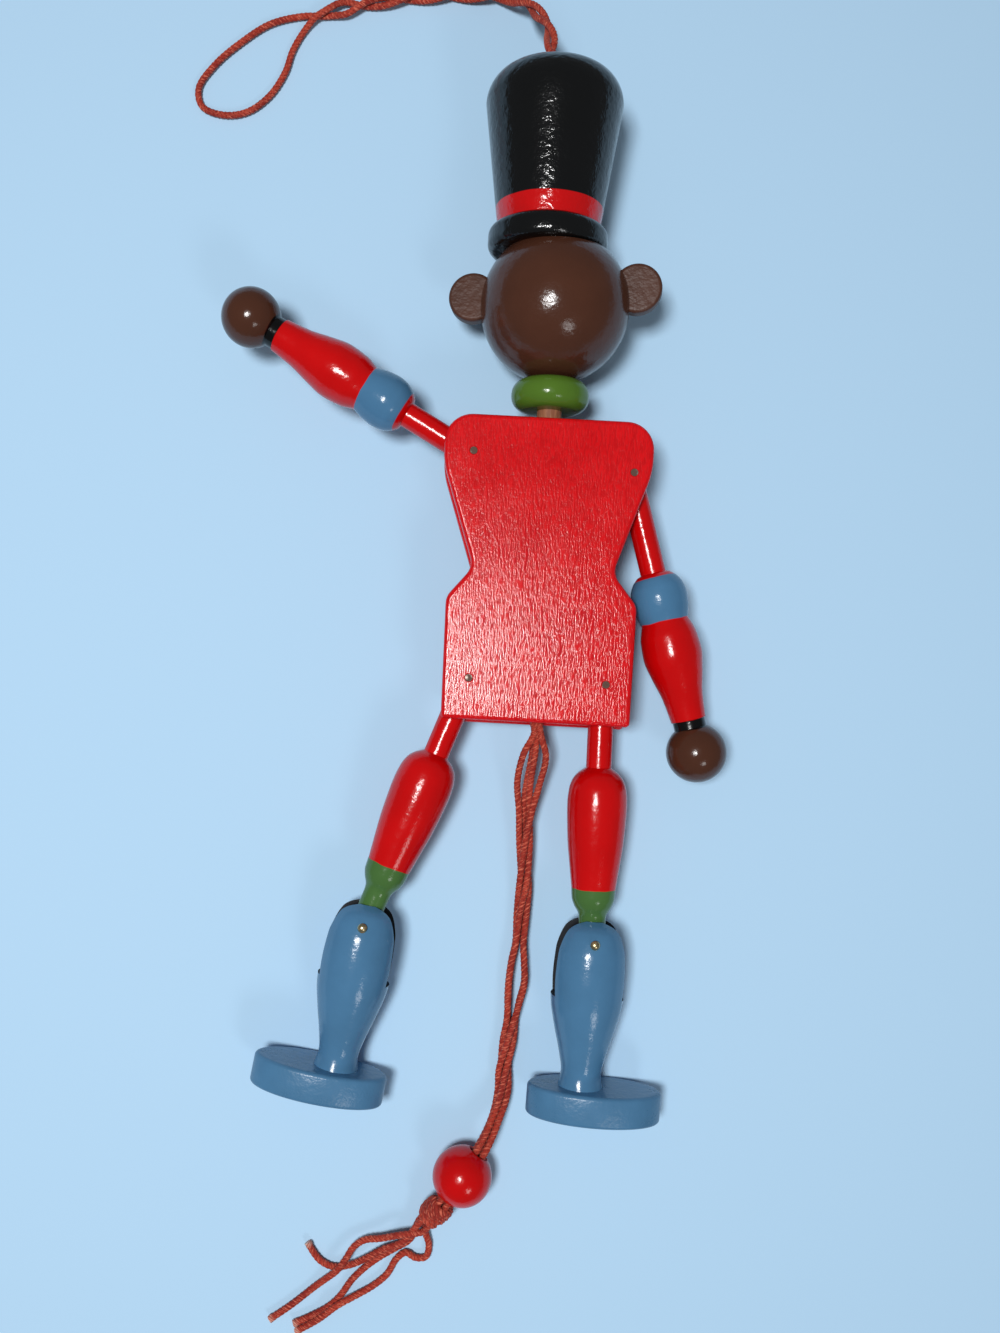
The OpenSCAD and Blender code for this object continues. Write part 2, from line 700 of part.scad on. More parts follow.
// Stands children that point up at p, pointing along d
module along(p, d) {
    translate(p) rotate([0, acos(d.z), atan2(d.y, d.x)]) children();
}

module pull_bead() {
    color(red) difference() {
        translate(ground_point(bead_at)) sphere(d = bead_d);
        along(ground_point(bead_mouth(-1)), unit(bead_dir)) cylinder(d = bead_hole_d, h = 2 * bead_reach);
    }
}

module pull_knot() {
    color(string_red) along(ground_point(knot_face(-1)), knot_dir()) knot_barrel(knot_d, knot_len);
}

// One loose string end, from its place on the knot's lower face
module string_end(across, up, run) {
    d = knot_dir();
    s = unit(cross(d, [0, 0, 1]));
    start = knot_face(1) + end_side * (across * s + up * cross(s, d));
    route = concat([start, start + strand_d * d], run);
    color(string_red) tube([for (p = route) ground_point(p)], strand_r);
}

back_board();
front_board();
neck_block();
neck_dowel();
collar();
head();
ear(left);  // left_ear
ear(right);  // right_ear
hat();
nail(shoulder_at(left));  // left_shoulder_nail
nail(shoulder_at(right));  // right_shoulder_nail
nail([-hip_nail_x, hip_y]);  // left_hip_nail
nail([hip_nail_x, hip_y]);  // right_hip_nail
arm(left);  // left_arm
arm(right);  // right_arm
thigh(left);  // left_thigh
thigh(right);  // right_thigh
shin(left);  // left_shin
shin(right);  // right_shin
knee_pin(left);  // left_knee_pin
knee_pin(right);  // right_knee_pin
foot(left);  // left_foot
foot(right);  // right_foot
left_arm_string();
right_arm_string();
left_leg_string();
right_leg_string();
hang_cord();
hang_knot();
pull_cord();
pull_bead();
pull_knot();
string_end(1, 1, curled_run);  // curled_end
string_end(-1, 1, long_run);  // long_end
string_end(1, -1, middle_run);  // middle_end
string_end(-1, -1, bent_run);  // bent_end
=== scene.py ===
import logging
import math
from dataclasses import dataclass
from enum import Enum
from typing import Sequence

import bmesh
import bpy
from mathutils import Matrix, Vector


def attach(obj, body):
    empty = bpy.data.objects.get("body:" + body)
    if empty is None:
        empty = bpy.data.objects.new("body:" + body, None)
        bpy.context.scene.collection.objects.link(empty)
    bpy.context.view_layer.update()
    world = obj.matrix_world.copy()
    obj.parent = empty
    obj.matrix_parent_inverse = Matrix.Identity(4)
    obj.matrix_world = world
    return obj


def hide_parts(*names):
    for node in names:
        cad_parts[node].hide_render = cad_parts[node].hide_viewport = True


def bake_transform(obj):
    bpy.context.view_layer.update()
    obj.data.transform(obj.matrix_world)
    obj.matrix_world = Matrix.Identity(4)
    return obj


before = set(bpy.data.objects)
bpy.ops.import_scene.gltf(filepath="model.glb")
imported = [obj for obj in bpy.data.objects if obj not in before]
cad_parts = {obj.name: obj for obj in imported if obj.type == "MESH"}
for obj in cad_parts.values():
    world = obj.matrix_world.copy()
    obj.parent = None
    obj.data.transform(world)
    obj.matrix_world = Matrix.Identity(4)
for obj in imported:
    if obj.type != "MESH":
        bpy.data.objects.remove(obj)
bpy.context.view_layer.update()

Material = bpy.types.Material
Mesh = bpy.types.Mesh
Object = bpy.types.Object
Socket = bpy.types.NodeSocket
Point = Sequence[float]
Pair = tuple[float, float]
Triple = tuple[float, float, float]

LOG = logging.getLogger("jumping_jack")
MM = 0.001
UP = Vector((0.0, 0.0, 1.0))
MERGE = 1e-7
PATH_STEP = 0.0005
KNOT_STEP = 0.0004
CURVE_STEPS = 24
FACETS = 96
FINE_FACETS = 128
NAIL_FACETS = 24
SHARP_DEG = 28.0
STRING_SHARP_DEG = 60.0


class Side(Enum):
    """Left and right as the photo shows them, with the sign of x on that side."""

    LEFT = -1
    RIGHT = 1

    @property
    def word(self) -> str:
        """The side's name as the CAD nodes spell it."""
        return self.name.lower()


# Where things lie

def turn_about(axis: str, degrees: float) -> Matrix:
    """A turn about an axis through zero."""
    return Matrix.Rotation(math.radians(degrees), 4, axis)


def move(x: float, y: float, z: float = 0.0) -> Matrix:
    """A move in millimetres."""
    return Matrix.Translation(Vector((x, y, z)) * MM)


@dataclass(frozen=True)
class Lying:
    """How the figure lies: a bench frame, zero amid the boards, tipped to rest on the ground."""

    tilt_deg: float = 2.645202
    shift_mm: Triple = (19.04089, 5.78223, 17.12561)

    @property
    def matrix(self) -> Matrix:
        """Bench frame to row frame, in metres."""
        return move(*self.shift_mm) @ turn_about("X", self.tilt_deg)

    def bench(self, point: Point) -> Vector:
        """Row-frame place of a bench point in millimetres."""
        return self.matrix @ (Vector(point) * MM)

    def ground(self, point: Point) -> Vector:
        """Row-frame place of a point in millimetres from the ground under the bench's zero."""
        return (Vector(point) + Vector((*self.shift_mm[:2], 0.0))) * MM


LYING = Lying()


# Node trees

class Graph:
    """A node tree in the making, with short calls for adding and joining nodes."""

    mix_inputs = (0, 6, 7)
    mix_output = 2

    def __init__(self, tree: bpy.types.NodeTree) -> None:
        self.tree = tree

    def add(self, kind: str, inputs: dict | None = None, **settings) -> bpy.types.Node:
        """Adds a node.

        Args:
            kind: Blender's name of the node type.
            inputs: Values or sockets for the node's inputs, by name or place.
            settings: Properties of the node itself.

        Returns:
            The new node.
        """
        node = self.tree.nodes.new(kind)
        for key, value in settings.items():
            setattr(node, key, value)
        for key, value in (inputs or {}).items():
            self.feed(node, key, value)
        return node

    def feed(self, node: bpy.types.Node, key: str | int, value) -> None:
        """Joins a socket to a node's input, or sets the input to a plain value."""
        if isinstance(key, int):
            socket = node.inputs[key]
        else:
            socket = next(s for s in node.inputs if s.name == key and s.enabled)
        if isinstance(value, bpy.types.NodeSocket):
            self.tree.links.new(value, socket)
        else:
            socket.default_value = value

    def math(self, operation: str, *values) -> Socket:
        """The result of one sum."""
        return self.add("ShaderNodeMath", dict(enumerate(values)), operation=operation).outputs[0]

    def plus(self, first, second) -> Socket:
        """Two numbers added."""
        return self.math("ADD", first, second)

    def minus(self, first, second) -> Socket:
        """The second number taken from the first."""
        return self.math("SUBTRACT", first, second)

    def times(self, first, second) -> Socket:
        """Two numbers multiplied."""
        return self.math("MULTIPLY", first, second)

    def vector(self, operation: str, first, second) -> Socket:
        """The result of one sum of vectors."""
        inputs = {0: first, "Scale" if operation == "SCALE" else 1: second}
        return self.add("ShaderNodeVectorMath", inputs, operation=operation).outputs[0]

    def mix(self, factor, first, second) -> Socket:
        """A blend of two colours."""
        inputs = dict(zip(self.mix_inputs, (factor, first, second)))
        return self.add("ShaderNodeMix", inputs, data_type="RGBA").outputs[self.mix_output]

    def ramp(self, value, low: float, high: float, to_low: float = 0.0,
             to_high: float = 1.0) -> Socket:
        """A smooth step from one level to another."""
        names = ("Value", "From Min", "From Max", "To Min", "To Max")
        inputs = dict(zip(names, (value, low, high, to_low, to_high)))
        return self.add("ShaderNodeMapRange", inputs, interpolation_type="SMOOTHSTEP").outputs[0]

    def noise(self, vector, scale: float, detail: float = 2.0) -> Socket:
        """A level of cloudy noise."""
        inputs = {"Vector": vector, "Scale": scale, "Detail": detail}
        return self.add("ShaderNodeTexNoise", inputs).outputs[0]

    def attribute(self, name: str) -> Socket:
        """A number that the mesh holds."""
        return self.add("ShaderNodeAttribute", attribute_name=name).outputs["Fac"]

    def bump(self, strength: float, distance: float, height) -> Socket:
        """A normal with relief."""
        inputs = {"Strength": strength, "Distance": distance, "Height": height}
        return self.add("ShaderNodeBump", inputs).outputs[0]


def new_tree(name: str, kind: str, takes: dict[str, str], gives: dict[str, str]):
    """Starts a node group.

    Args:
        name: The group's name.
        kind: The type of tree.
        takes: Input names and socket types.
        gives: Output names and socket types.

    Returns:
        The graph, its input node and its output node.
    """
    tree = bpy.data.node_groups.new(name, kind)
    for way, sockets in (("INPUT", takes), ("OUTPUT", gives)):
        for label, socket in sockets.items():
            tree.interface.new_socket(label, in_out=way, socket_type="NodeSocket" + socket)
    graph = Graph(tree)
    return graph, graph.add("NodeGroupInput"), graph.add("NodeGroupOutput")


def placed(name: str, data) -> Object:
    """A new object in the scene."""
    thing = bpy.data.objects.new(name, data)
    bpy.context.scene.collection.objects.link(thing)
    return thing


def evaluated(holder: Object) -> Mesh:
    """A new mesh of what an object's modifiers make of it."""
    depsgraph = bpy.context.evaluated_depsgraph_get()
    return bpy.data.meshes.new_from_object(holder.evaluated_get(depsgraph))


class RuleTree:
    """A Geometry Nodes tree that lays rings of points by a rule and closes them into one skin."""

    def __init__(self, name: str, extra: dict[str, str]) -> None:
        takes = {"Line": "Geometry", "Stations": "Int", "Ring Points": "Int", **extra,
                 "Finish": "Material"}
        self.graph, self.takes, self.gives = new_tree(
            name, "GeometryNodeTree", takes, {"Form": "Geometry"})
        graph, given = self.graph, self.takes.outputs
        ring = given["Ring Points"]
        self.grid = graph.add("GeometryNodeMeshGrid", {
            "Size X": 1.0, "Size Y": 1.0, "Vertices X": given["Stations"],
            "Vertices Y": ring}).outputs[0]
        index = graph.add("GeometryNodeInputIndex").outputs[0]
        self.station = graph.math("FLOOR", graph.math("DIVIDE", graph.plus(index, 0.5), ring))
        facet = graph.minus(index, graph.times(self.station, ring))
        self.angle = graph.times(graph.math("DIVIDE", facet, graph.minus(ring, 1.0)), math.tau)
        self.cosine = graph.math("COSINE", self.angle)
        self.sine = graph.math("SINE", self.angle)

    def read(self, kind: str, name: str = "") -> Socket:
        """What the line's point of each ring holds: a named attribute, or else its place."""
        if name:
            source = self.graph.add(
                "GeometryNodeInputNamedAttribute", {"Name": name}, data_type=kind)
        else:
            source = self.graph.add("GeometryNodeInputPosition")
        value = next(s for s in source.outputs if s.enabled)
        inputs = {"Geometry": self.takes.outputs["Line"], "Value": value, "Index": self.station}
        node = self.graph.add("GeometryNodeSampleIndex", inputs, data_type=kind, domain="POINT")
        return next(s for s in node.outputs if s.enabled)

    def close(self, place, numbers: dict) -> None:
        """Sets the points, keeps the numbers on them and ends the tree."""
        graph = self.graph
        form = graph.add(
            "GeometryNodeSetPosition", {"Geometry": self.grid, "Position": place}).outputs[0]
        for name, value in numbers.items():
            inputs = {"Geometry": form, "Name": name, "Value": value}
            form = graph.add("GeometryNodeStoreNamedAttribute", inputs,
                             data_type="FLOAT", domain="POINT").outputs[0]
        for kind, inputs in (
                ("MergeByDistance", {"Distance": MERGE}), ("SetShadeSmooth", {}),
                ("RealizeInstances", {}),
                ("SetMaterial", {"Material": self.takes.outputs["Finish"]})):
            form = graph.add("GeometryNode" + kind, {"Geometry": form, **inputs}).outputs[0]
        graph.feed(self.gives, "Form", form)

    def run(self, line: Mesh, values: dict) -> Mesh:
        """Evaluates the tree on a line of points.

        Args:
            line: Mesh whose points the rule reads.
            values: The tree's inputs by name.

        Returns:
            A new mesh.
        """
        holder = placed("rule_holder", line)
        modifier = holder.modifiers.new("rule", "NODES")
        modifier.node_group = self.graph.tree
        for item in self.graph.tree.interface.items_tree:
            if item.in_out == "INPUT" and item.name in values:
                modifier[item.identifier] = values[item.name]
        mesh = evaluated(holder)
        bpy.data.objects.remove(holder)
        bpy.data.meshes.remove(line)
        return mesh


def turning_tree() -> RuleTree:
    """The rule of the lathe: each profile point becomes a ring about the y axis."""
    rule = RuleTree("turned_form", {})
    graph = rule.graph
    radius, along, _ = graph.add("ShaderNodeSeparateXYZ", {0: rule.read("FLOAT_VECTOR")}).outputs
    x, z = graph.times(radius, rule.cosine), graph.times(radius, rule.sine)
    ring = graph.add("ShaderNodeCombineXYZ", {0: x, 1: along, 2: z}).outputs[0]
    rule.close(ring, {"along": along, "around": rule.angle})
    return rule


def strand_tree() -> RuleTree:
    """The rule of a laid string: plies that wind round the run of a path."""
    extra = {"Radius": "Float", "Pitch": "Float", "Plies": "Int", "Groove": "Float"}
    rule = RuleTree("laid_string", extra)
    graph, given = rule.graph, rule.takes.outputs
    at = rule.read("FLOAT_VECTOR")
    side, lift = (rule.read("FLOAT_VECTOR", name) for name in ("side", "lift"))
    girth, run, tip = (rule.read("FLOAT", name) for name in ("girth", "run", "tip"))
    wind = graph.times(graph.math("DIVIDE", run, given["Pitch"]), math.tau)
    phase = graph.times(graph.minus(rule.angle, wind), given["Plies"])
    lobe = graph.math("ABSOLUTE", graph.math("COSINE", graph.times(phase, 0.5)))
    swell = graph.minus(1.0, graph.times(given["Groove"], graph.minus(1.0, lobe)))
    radius = graph.times(graph.times(swell, given["Radius"]), girth)
    out = graph.vector("SCALE", side, graph.times(radius, rule.cosine))
    up = graph.vector("SCALE", lift, graph.times(radius, rule.sine))
    spot = graph.vector("ADD", at, graph.vector("ADD", out, up))
    rule.close(spot, {
        "along": run, "around": rule.angle, "lobe": lobe, "wind": phase, "tip": tip})
    return rule


# Finishes

def linear(red: int, green: int, blue: int) -> tuple[float, float, float, float]:
    """A colour as a shader reads it, from the eight-bit values a picture shows."""
    def level(byte: int) -> float:
        share = byte / 255.0
        return share / 12.92 if share <= 0.04045 else ((share + 0.055) / 1.055) ** 2.4
    return (level(red), level(green), level(blue), 1.0)


class Paint(Enum):
    """The colours of paint, wood, metal and string, and of the ground, with painted shade for the
    shin's slot and the string's grooves.
    """

    RED = linear(198, 5, 7)
    SCARLET = linear(216, 10, 18)
    SCARLET_PORE = linear(150, 6, 12)
    BLUE = linear(73, 119, 155)
    GREEN = linear(70, 108, 54)
    LEAF = linear(80, 114, 36)
    BROWN = linear(75, 43, 30)
    BLACK = linear(8, 8, 8)
    # Near-black painted shade for the walls of the shin's slot.
    DARK = linear(24, 27, 33)
    WOOD_PALE = linear(206, 150, 106)
    WOOD_DEEP = linear(170, 106, 70)
    WOOD_PORE = linear(140, 84, 56)
    STEEL = linear(128, 118, 110)
    RUST = linear(88, 62, 50)
    BRASS = linear(204, 186, 144)
    TARNISH = linear(120, 88, 48)
    STRING_DEEP = linear(142, 36, 26)
    STRING_WARM = linear(174, 54, 36)
    STRING_FLECK = linear(212, 108, 84)
    # Dark red painted shade for the grooves between the string's plies.
    STRING_GROOVE_SHADE = linear(112, 28, 20)
    STRING_CUT = linear(236, 200, 182)
    GROUND = linear(182, 217, 244)


@dataclass(frozen=True)
class Skin:
    """Brushed enamel: uneven tone, orange peel and roughness that wanders.

    Scales of noise are in waves per metre, and the rest are shares of it.
    """

    clouds: float = 95.0
    specks: float = 1900.0
    peel: float = 520.0
    cloud_rough: float = 0.12
    speck_rough: float = 0.06
    speck_peel: float = 0.3

    def group(self) -> bpy.types.NodeTree:
        """Makes the node group."""
        takes = {"Place": "Vector", "Paint": "Color", "Peel": "Float", "Unevenness": "Float",
                 "Matt": "Float"}
        gives = {"Color": "Color", "Roughness": "Float", "Height": "Float"}
        graph, node, out = new_tree("enamel_skin", "ShaderNodeTree", takes, gives)
        given = node.outputs
        cloud = graph.noise(given["Place"], self.clouds, 3.0)
        speck = graph.noise(given["Place"], self.specks)
        value = graph.plus(1.0, graph.times(graph.minus(cloud, 0.5), given["Unevenness"]))
        inputs = {"Value": value, "Color": given["Paint"]}
        graph.feed(out, "Color", graph.add("ShaderNodeHueSaturation", inputs).outputs[0])
        rough = graph.times(cloud, self.cloud_rough)
        rough = graph.plus(rough, graph.times(speck, self.speck_rough))
        graph.feed(out, "Roughness", graph.plus(rough, given["Matt"]))
        peel = graph.plus(
            graph.noise(given["Place"], self.peel), graph.times(speck, self.speck_peel))
        graph.feed(out, "Height", graph.times(peel, given["Peel"]))
        return graph.tree


@dataclass(frozen=True)
class Grain:
    """Wood grain that runs along y: long pores that a coat of paint only half fills."""

    stretch: Triple = (1.0, 0.17, 1.0)
    pore_edge: Pair = (0.38, 0.62)
    streaks: Triple = (0.22, 0.05, 0.22)

    def group(self) -> bpy.types.NodeTree:
        """Makes the node group."""
        takes = {"Place": "Vector", "Fineness": "Float"}
        gives = {"Pores": "Float", "Streaks": "Float"}
        graph, node, out = new_tree("wood_grain", "ShaderNodeTree", takes, gives)
        stretch = graph.vector("MULTIPLY", node.outputs["Place"], self.stretch)
        fine = graph.vector("SCALE", stretch, node.outputs["Fineness"])
        graph.feed(out, "Pores", graph.ramp(graph.noise(fine, 1.0, 3.0), *self.pore_edge))
        graph.feed(out, "Streaks", graph.noise(graph.vector("MULTIPLY", fine, self.streaks), 1.0))
        return graph.tree


class Finish:
    """A surface that makes its own material."""

    name: str

    def material(self, kit: "Kit") -> Material:
        material = bpy.data.materials.new(self.name)
        material.use_nodes = True
        graph = Graph(material.node_tree)
        place = graph.add("ShaderNodeTexCoord").outputs["Object"]
        shader = material.node_tree.nodes["Principled BSDF"]
        for key, value in self.sockets(kit, graph, place).items():
            graph.feed(shader, key, value)
        return material

    def sockets(self, kit: "Kit", graph: Graph, place: Socket) -> dict:
        """What the shader's inputs are given, by name: sockets and plain values."""
        raise NotImplementedError


@dataclass(frozen=True)
class Coat(Finish):
    """One painted finish: bands of colour along the piece, under a skin of enamel.

    Attributes:
        name: The material's name.
        base: The colour where no band is.
        bands: Pairs of a place along the piece in millimetres and the colour from there on.
        waver: How far a painted line wanders, in millimetres.
        peel: Height of the orange peel.
        unevenness: How much the tone varies.
        shine: How strongly the paint mirrors.
        matt: The least roughness.
        grain: Strength of the wood grain that shows through, if any.
        bump: Strength of the relief.
    """

    name: str
    base: Paint
    bands: tuple[tuple[float, Paint], ...] = ()
    waver: float = 0.5
    peel: float = 0.6
    unevenness: float = 0.3
    shine: float = 0.36
    matt: float = 0.08
    grain: float = 0.0
    bump: float = 0.14
    wander: float = 130.0
    line_edge: float = 0.12
    fineness: float = 2600.0
    specks: float = 2200.0
    speck_share: float = 1.3
    pore_dark: float = 0.35

    def sockets(self, kit: "Kit", graph: Graph, place: Socket) -> dict:
        """Paint in bands, its relief and its gloss."""
        color: object = self.base.value
        if self.bands:
            sway = graph.minus(graph.noise(place, self.wander), 0.5)
            spot = graph.plus(graph.attribute("along"), graph.times(sway, self.waver * MM * 2))
            for start, paint in self.bands:
                low, high = (start - self.line_edge) * MM, (start + self.line_edge) * MM
                color = graph.mix(graph.ramp(spot, low, high), color, paint.value)
        skin = graph.add("ShaderNodeGroup", {
            "Place": place, "Paint": color, "Peel": self.peel, "Unevenness": self.unevenness,
            "Matt": self.matt}, node_tree=kit.skin).outputs
        height, tint = skin["Height"], skin["Color"]
        if self.grain:
            inputs = {"Place": place, "Fineness": self.fineness}
            pores = graph.add("ShaderNodeGroup", inputs, node_tree=kit.grain).outputs["Pores"]
            specks = graph.times(graph.noise(place, self.specks), self.speck_share)
            height = graph.plus(height, graph.times(graph.plus(pores, specks), self.grain))
            dark = graph.times(graph.minus(1.0, pores), self.pore_dark)
            tint = graph.mix(dark, tint, Paint.SCARLET_PORE.value)
        return {"Base Color": tint, "Roughness": skin["Roughness"],
                "Normal": graph.bump(self.bump, MM, height), "Specular IOR Level": self.shine}


@dataclass(frozen=True)
class BareWood(Finish):
    """Wood that was left as it was turned."""

    name: str = "bare_wood"
    fineness: float = 1100.0
    pore_share: float = 0.35
    bump: float = 0.2
    rough: Pair = (0.5, 0.25)

    def sockets(self, kit: "Kit", graph: Graph, place: Socket) -> dict:
        """Streaks, pores and their relief."""
        inputs = {"Place": place, "Fineness": self.fineness}
        wood = graph.add("ShaderNodeGroup", inputs, node_tree=kit.grain).outputs
        streaks = graph.mix(wood["Streaks"], Paint.WOOD_PALE.value, Paint.WOOD_DEEP.value)
        pores = graph.times(wood["Pores"], self.pore_share)
        least, more = self.rough
        return {"Base Color": graph.mix(pores, Paint.WOOD_PORE.value, streaks),
                "Roughness": graph.plus(least, graph.times(wood["Streaks"], more)),
                "Normal": graph.bump(self.bump, MM, wood["Pores"])}


@dataclass(frozen=True)
class Metal(Finish):
    """A small metal pin stained by handling; a pair is a level and what the stains change in it."""

    name: str
    bright: Paint
    stain: Paint
    stained: float
    clouds: float = 700.0
    low: Pair = (0.62, 0.4)
    high: Pair = (0.75, 0.3)
    dull: float = 0.7
    rough: Pair = (0.28, 0.4)

    def sockets(self, kit: "Kit", graph: Graph, place: Socket) -> dict:
        """Metal that is duller where it is stained."""
        low, high = (start - self.stained * drop for start, drop in (self.low, self.high))
        mask = graph.ramp(graph.noise(place, self.clouds, 4.0), low, high)
        least, more = self.rough
        return {"Base Color": graph.mix(mask, self.bright.value, self.stain.value),
                "Metallic": graph.minus(1.0, graph.times(mask, self.dull)),
                "Roughness": graph.plus(least, graph.times(mask, more))}


@dataclass(frozen=True)
class StringFinish(Finish):
    """Dyed twisted string: darkened between the plies with painted shade, fine fibres along them,
    pale where it is cut.

    An edge is the pair of levels between which one colour fades into another.
    """

    name: str = "dyed_string"
    fibre: Pair = (0.55, 800.0)
    blotches: float = 140.0
    blotch_edge: Pair = (0.3, 0.7)
    fleck_edge: Pair = (0.5, 0.64)
    groove_shade_edge: Pair = (0.05, 0.62)
    cut_edge: tuple[float, float, float, float] = (0.35, 0.6, 0.1, 0.8)
    fibre_height: float = 0.6
    bump: Pair = (0.5, 0.2)
    rough: Pair = (0.62, 0.3)
    sheen: float = 0.06
    shine: float = 0.25

    def sockets(self, kit: "Kit", graph: Graph, place: Socket) -> dict:
        """Dye, fibres, painted shade between the plies and the relief of the plies."""
        lobe, wind, along, tip = (graph.attribute(n) for n in ("lobe", "wind", "along", "tip"))
        tuft = graph.add("ShaderNodeCombineXYZ", {
            0: graph.times(wind, self.fibre[0]), 1: graph.times(along, self.fibre[1])}).outputs[0]
        fibre = graph.noise(tuft, 1.0, 3.0)
        blotch = graph.ramp(graph.noise(place, self.blotches), *self.blotch_edge)
        tone = graph.mix(blotch, Paint.STRING_DEEP.value, Paint.STRING_WARM.value)
        tone = graph.mix(graph.ramp(fibre, *self.fleck_edge), tone, Paint.STRING_FLECK.value)
        # Painted shade: the colour darkens in the grooves between the plies, where the lobe is low.
        tone = graph.mix(graph.ramp(lobe, *self.groove_shade_edge), Paint.STRING_GROOVE_SHADE.value, tone)
        pale = graph.times(tip, graph.ramp(fibre, *self.cut_edge))
        height = graph.plus(lobe, graph.times(fibre, self.fibre_height))
        strength, deep = self.bump
        least, more = self.rough
        return {"Base Color": graph.mix(pale, tone, Paint.STRING_CUT.value),
                "Roughness": graph.plus(least, graph.times(fibre, more)),
                "Normal": graph.bump(strength, deep * MM, height),
                "Sheen Weight": self.sheen, "Specular IOR Level": self.shine}


class Kit:
    """Node groups, rule trees and materials that the pieces share."""

    def __init__(self) -> None:
        self.skin = Skin().group()
        self.grain = Grain().group()
        self.turning = turning_tree()
        self.laying = strand_tree()
        self.made: dict[str, Material] = {}

    def material(self, finish: Finish) -> Material:
        """The material of a finish, made once."""
        if finish.name not in self.made:
            self.made[finish.name] = finish.material(self)
        return self.made[finish.name]


# Forms

def arc(center: Point, radius: float, start: float, end: float, steps: int) -> list[Pair]:
    """Points of an arc, with angles in degrees."""
    angles = [math.radians(start + (end - start) * i / steps) for i in range(steps + 1)]
    return [(center[0] + radius * math.cos(a), center[1] + radius * math.sin(a)) for a in angles]


def monotone(table: Sequence[Point], steps: int) -> list[Pair]:
    """A smooth run of points through a table, with no overshoot between its rows."""
    xs, ys = [p[0] for p in table], [p[1] for p in table]
    slopes = [(ys[i + 1] - ys[i]) / (xs[i + 1] - xs[i]) for i in range(len(xs) - 1)]
    bends = [0.0 if a * b <= 0 else 2 * a * b / (a + b) for a, b in zip(slopes, slopes[1:])]
    tangents = [slopes[0], *bends, slopes[-1]]
    points = []
    for i in range(len(slopes)):
        width = xs[i + 1] - xs[i]
        for k in range(steps):
            t = k / steps
            first, last = 2 * t ** 3 - 3 * t ** 2 + 1, -2 * t ** 3 + 3 * t ** 2
            rise, fall = t ** 3 - 2 * t ** 2 + t, t ** 3 - t ** 2
            y = (first * ys[i] + rise * width * tangents[i]
                 + last * ys[i + 1] + fall * width * tangents[i + 1])
            points.append((xs[i] + width * t, y))
    return points + [(xs[-1], ys[-1])]


def swelling(shares: Sequence[Point], start: float, length: float, radius: float,
             steps: int = 5) -> list[Pair]:
    """Profile points (radius, along) of a turned swelling, from its table of shares."""
    return [(y * radius, start + x * length) for x, y in monotone(shares, steps)]


def finished(mesh: Mesh, matrix: Matrix, sharp_deg: float = SHARP_DEG) -> Mesh:
    """Puts a mesh in place, turns its faces outwards and marks its hard edges."""
    mesh.transform(matrix)
    form = bmesh.new()
    form.from_mesh(mesh)
    bmesh.ops.remove_doubles(form, verts=form.verts, dist=MERGE)
    bmesh.ops.recalc_face_normals(form, faces=form.faces)
    form.to_mesh(mesh)
    form.free()
    for polygon in mesh.polygons:
        polygon.use_smooth = True
    mesh.set_sharp_from_angle(angle=math.radians(sharp_deg))
    mesh.update()
    return mesh


def line_mesh(points: Sequence[Vector]) -> Mesh:
    """A mesh of bare points in order."""
    mesh = bpy.data.meshes.new("line")
    mesh.from_pydata([tuple(p) for p in points], [], [])
    return mesh


def turned(kit: Kit, profile: Sequence[Point], finish: Finish, matrix: Matrix,
           facets: int = FACETS, zero: float = 0.0) -> Mesh:
    """A piece off the lathe.

    Args:
        kit: Shared trees and materials.
        profile: Points (radius, along) in millimetres.
        finish: The piece's finish.
        matrix: From the piece's frame, with the axis along y, to the row frame.
        facets: Points round the axis.
        zero: The place along the axis that the finish counts from.

    Returns:
        The mesh, in place.
    """
    line = line_mesh([Vector((r, a - zero, 0.0)) * MM for r, a in profile])
    values = {"Stations": len(profile), "Ring Points": facets + 1, "Finish": kit.material(finish)}
    return finished(kit.turning.run(line, values), matrix @ move(0.0, zero))


def rounded_outline(corners: Sequence[Point], rounds: Sequence[float],
                    steps: int = 10) -> list[Pair]:
    """An outline with an arc at each corner."""
    points = []
    count = len(corners)
    for i in range(count):
        here, before, after = (Vector(corners[k % count][:2]) for k in (i, i - 1, i + 1))
        a, b = (before - here).normalized(), (after - here).normalized()
        half = a.angle(b) / 2
        middle = here + (a + b).normalized() * rounds[i] / math.sin(half)
        first, last = (here + way * rounds[i] / math.tan(half) - middle for way in (a, b))
        sweep = first.angle_signed(last)
        for k in range(steps + 1):
            points.append(tuple(middle + Matrix.Rotation(-sweep * k / steps, 2) @ first))
    return points


def ellipse(wide: float, deep: float, steps: int = FACETS) -> list[Pair]:
    """An oval outline."""
    angles = [math.tau * i / steps for i in range(steps)]
    return [(wide / 2 * math.cos(a), deep / 2 * math.sin(a)) for a in angles]


def inset(outline: Sequence[Point], distance: float, least: float = 0.4) -> list[Pair]:
    """An outline moved inwards, point by point, where least bounds the move of a corner."""
    spots = [Vector(p) for p in outline]
    area = sum(outline[i - 1][0] * p[1] - p[0] * outline[i - 1][1] for i, p in enumerate(outline))
    hand = 1.0 if area > 0 else -1.0
    points = []
    for i, here in enumerate(spots):
        edges = (here - spots[i - 1], spots[(i + 1) % len(spots)] - here)
        ways = [Vector((-v.y, v.x)).normalized() * hand for v in edges if v.length > 1e-9]
        way = sum(ways, Vector((0.0, 0.0))).normalized()
        points.append(tuple(here + way * distance * (1.0 / max(least, way.dot(ways[0])))))
    return points


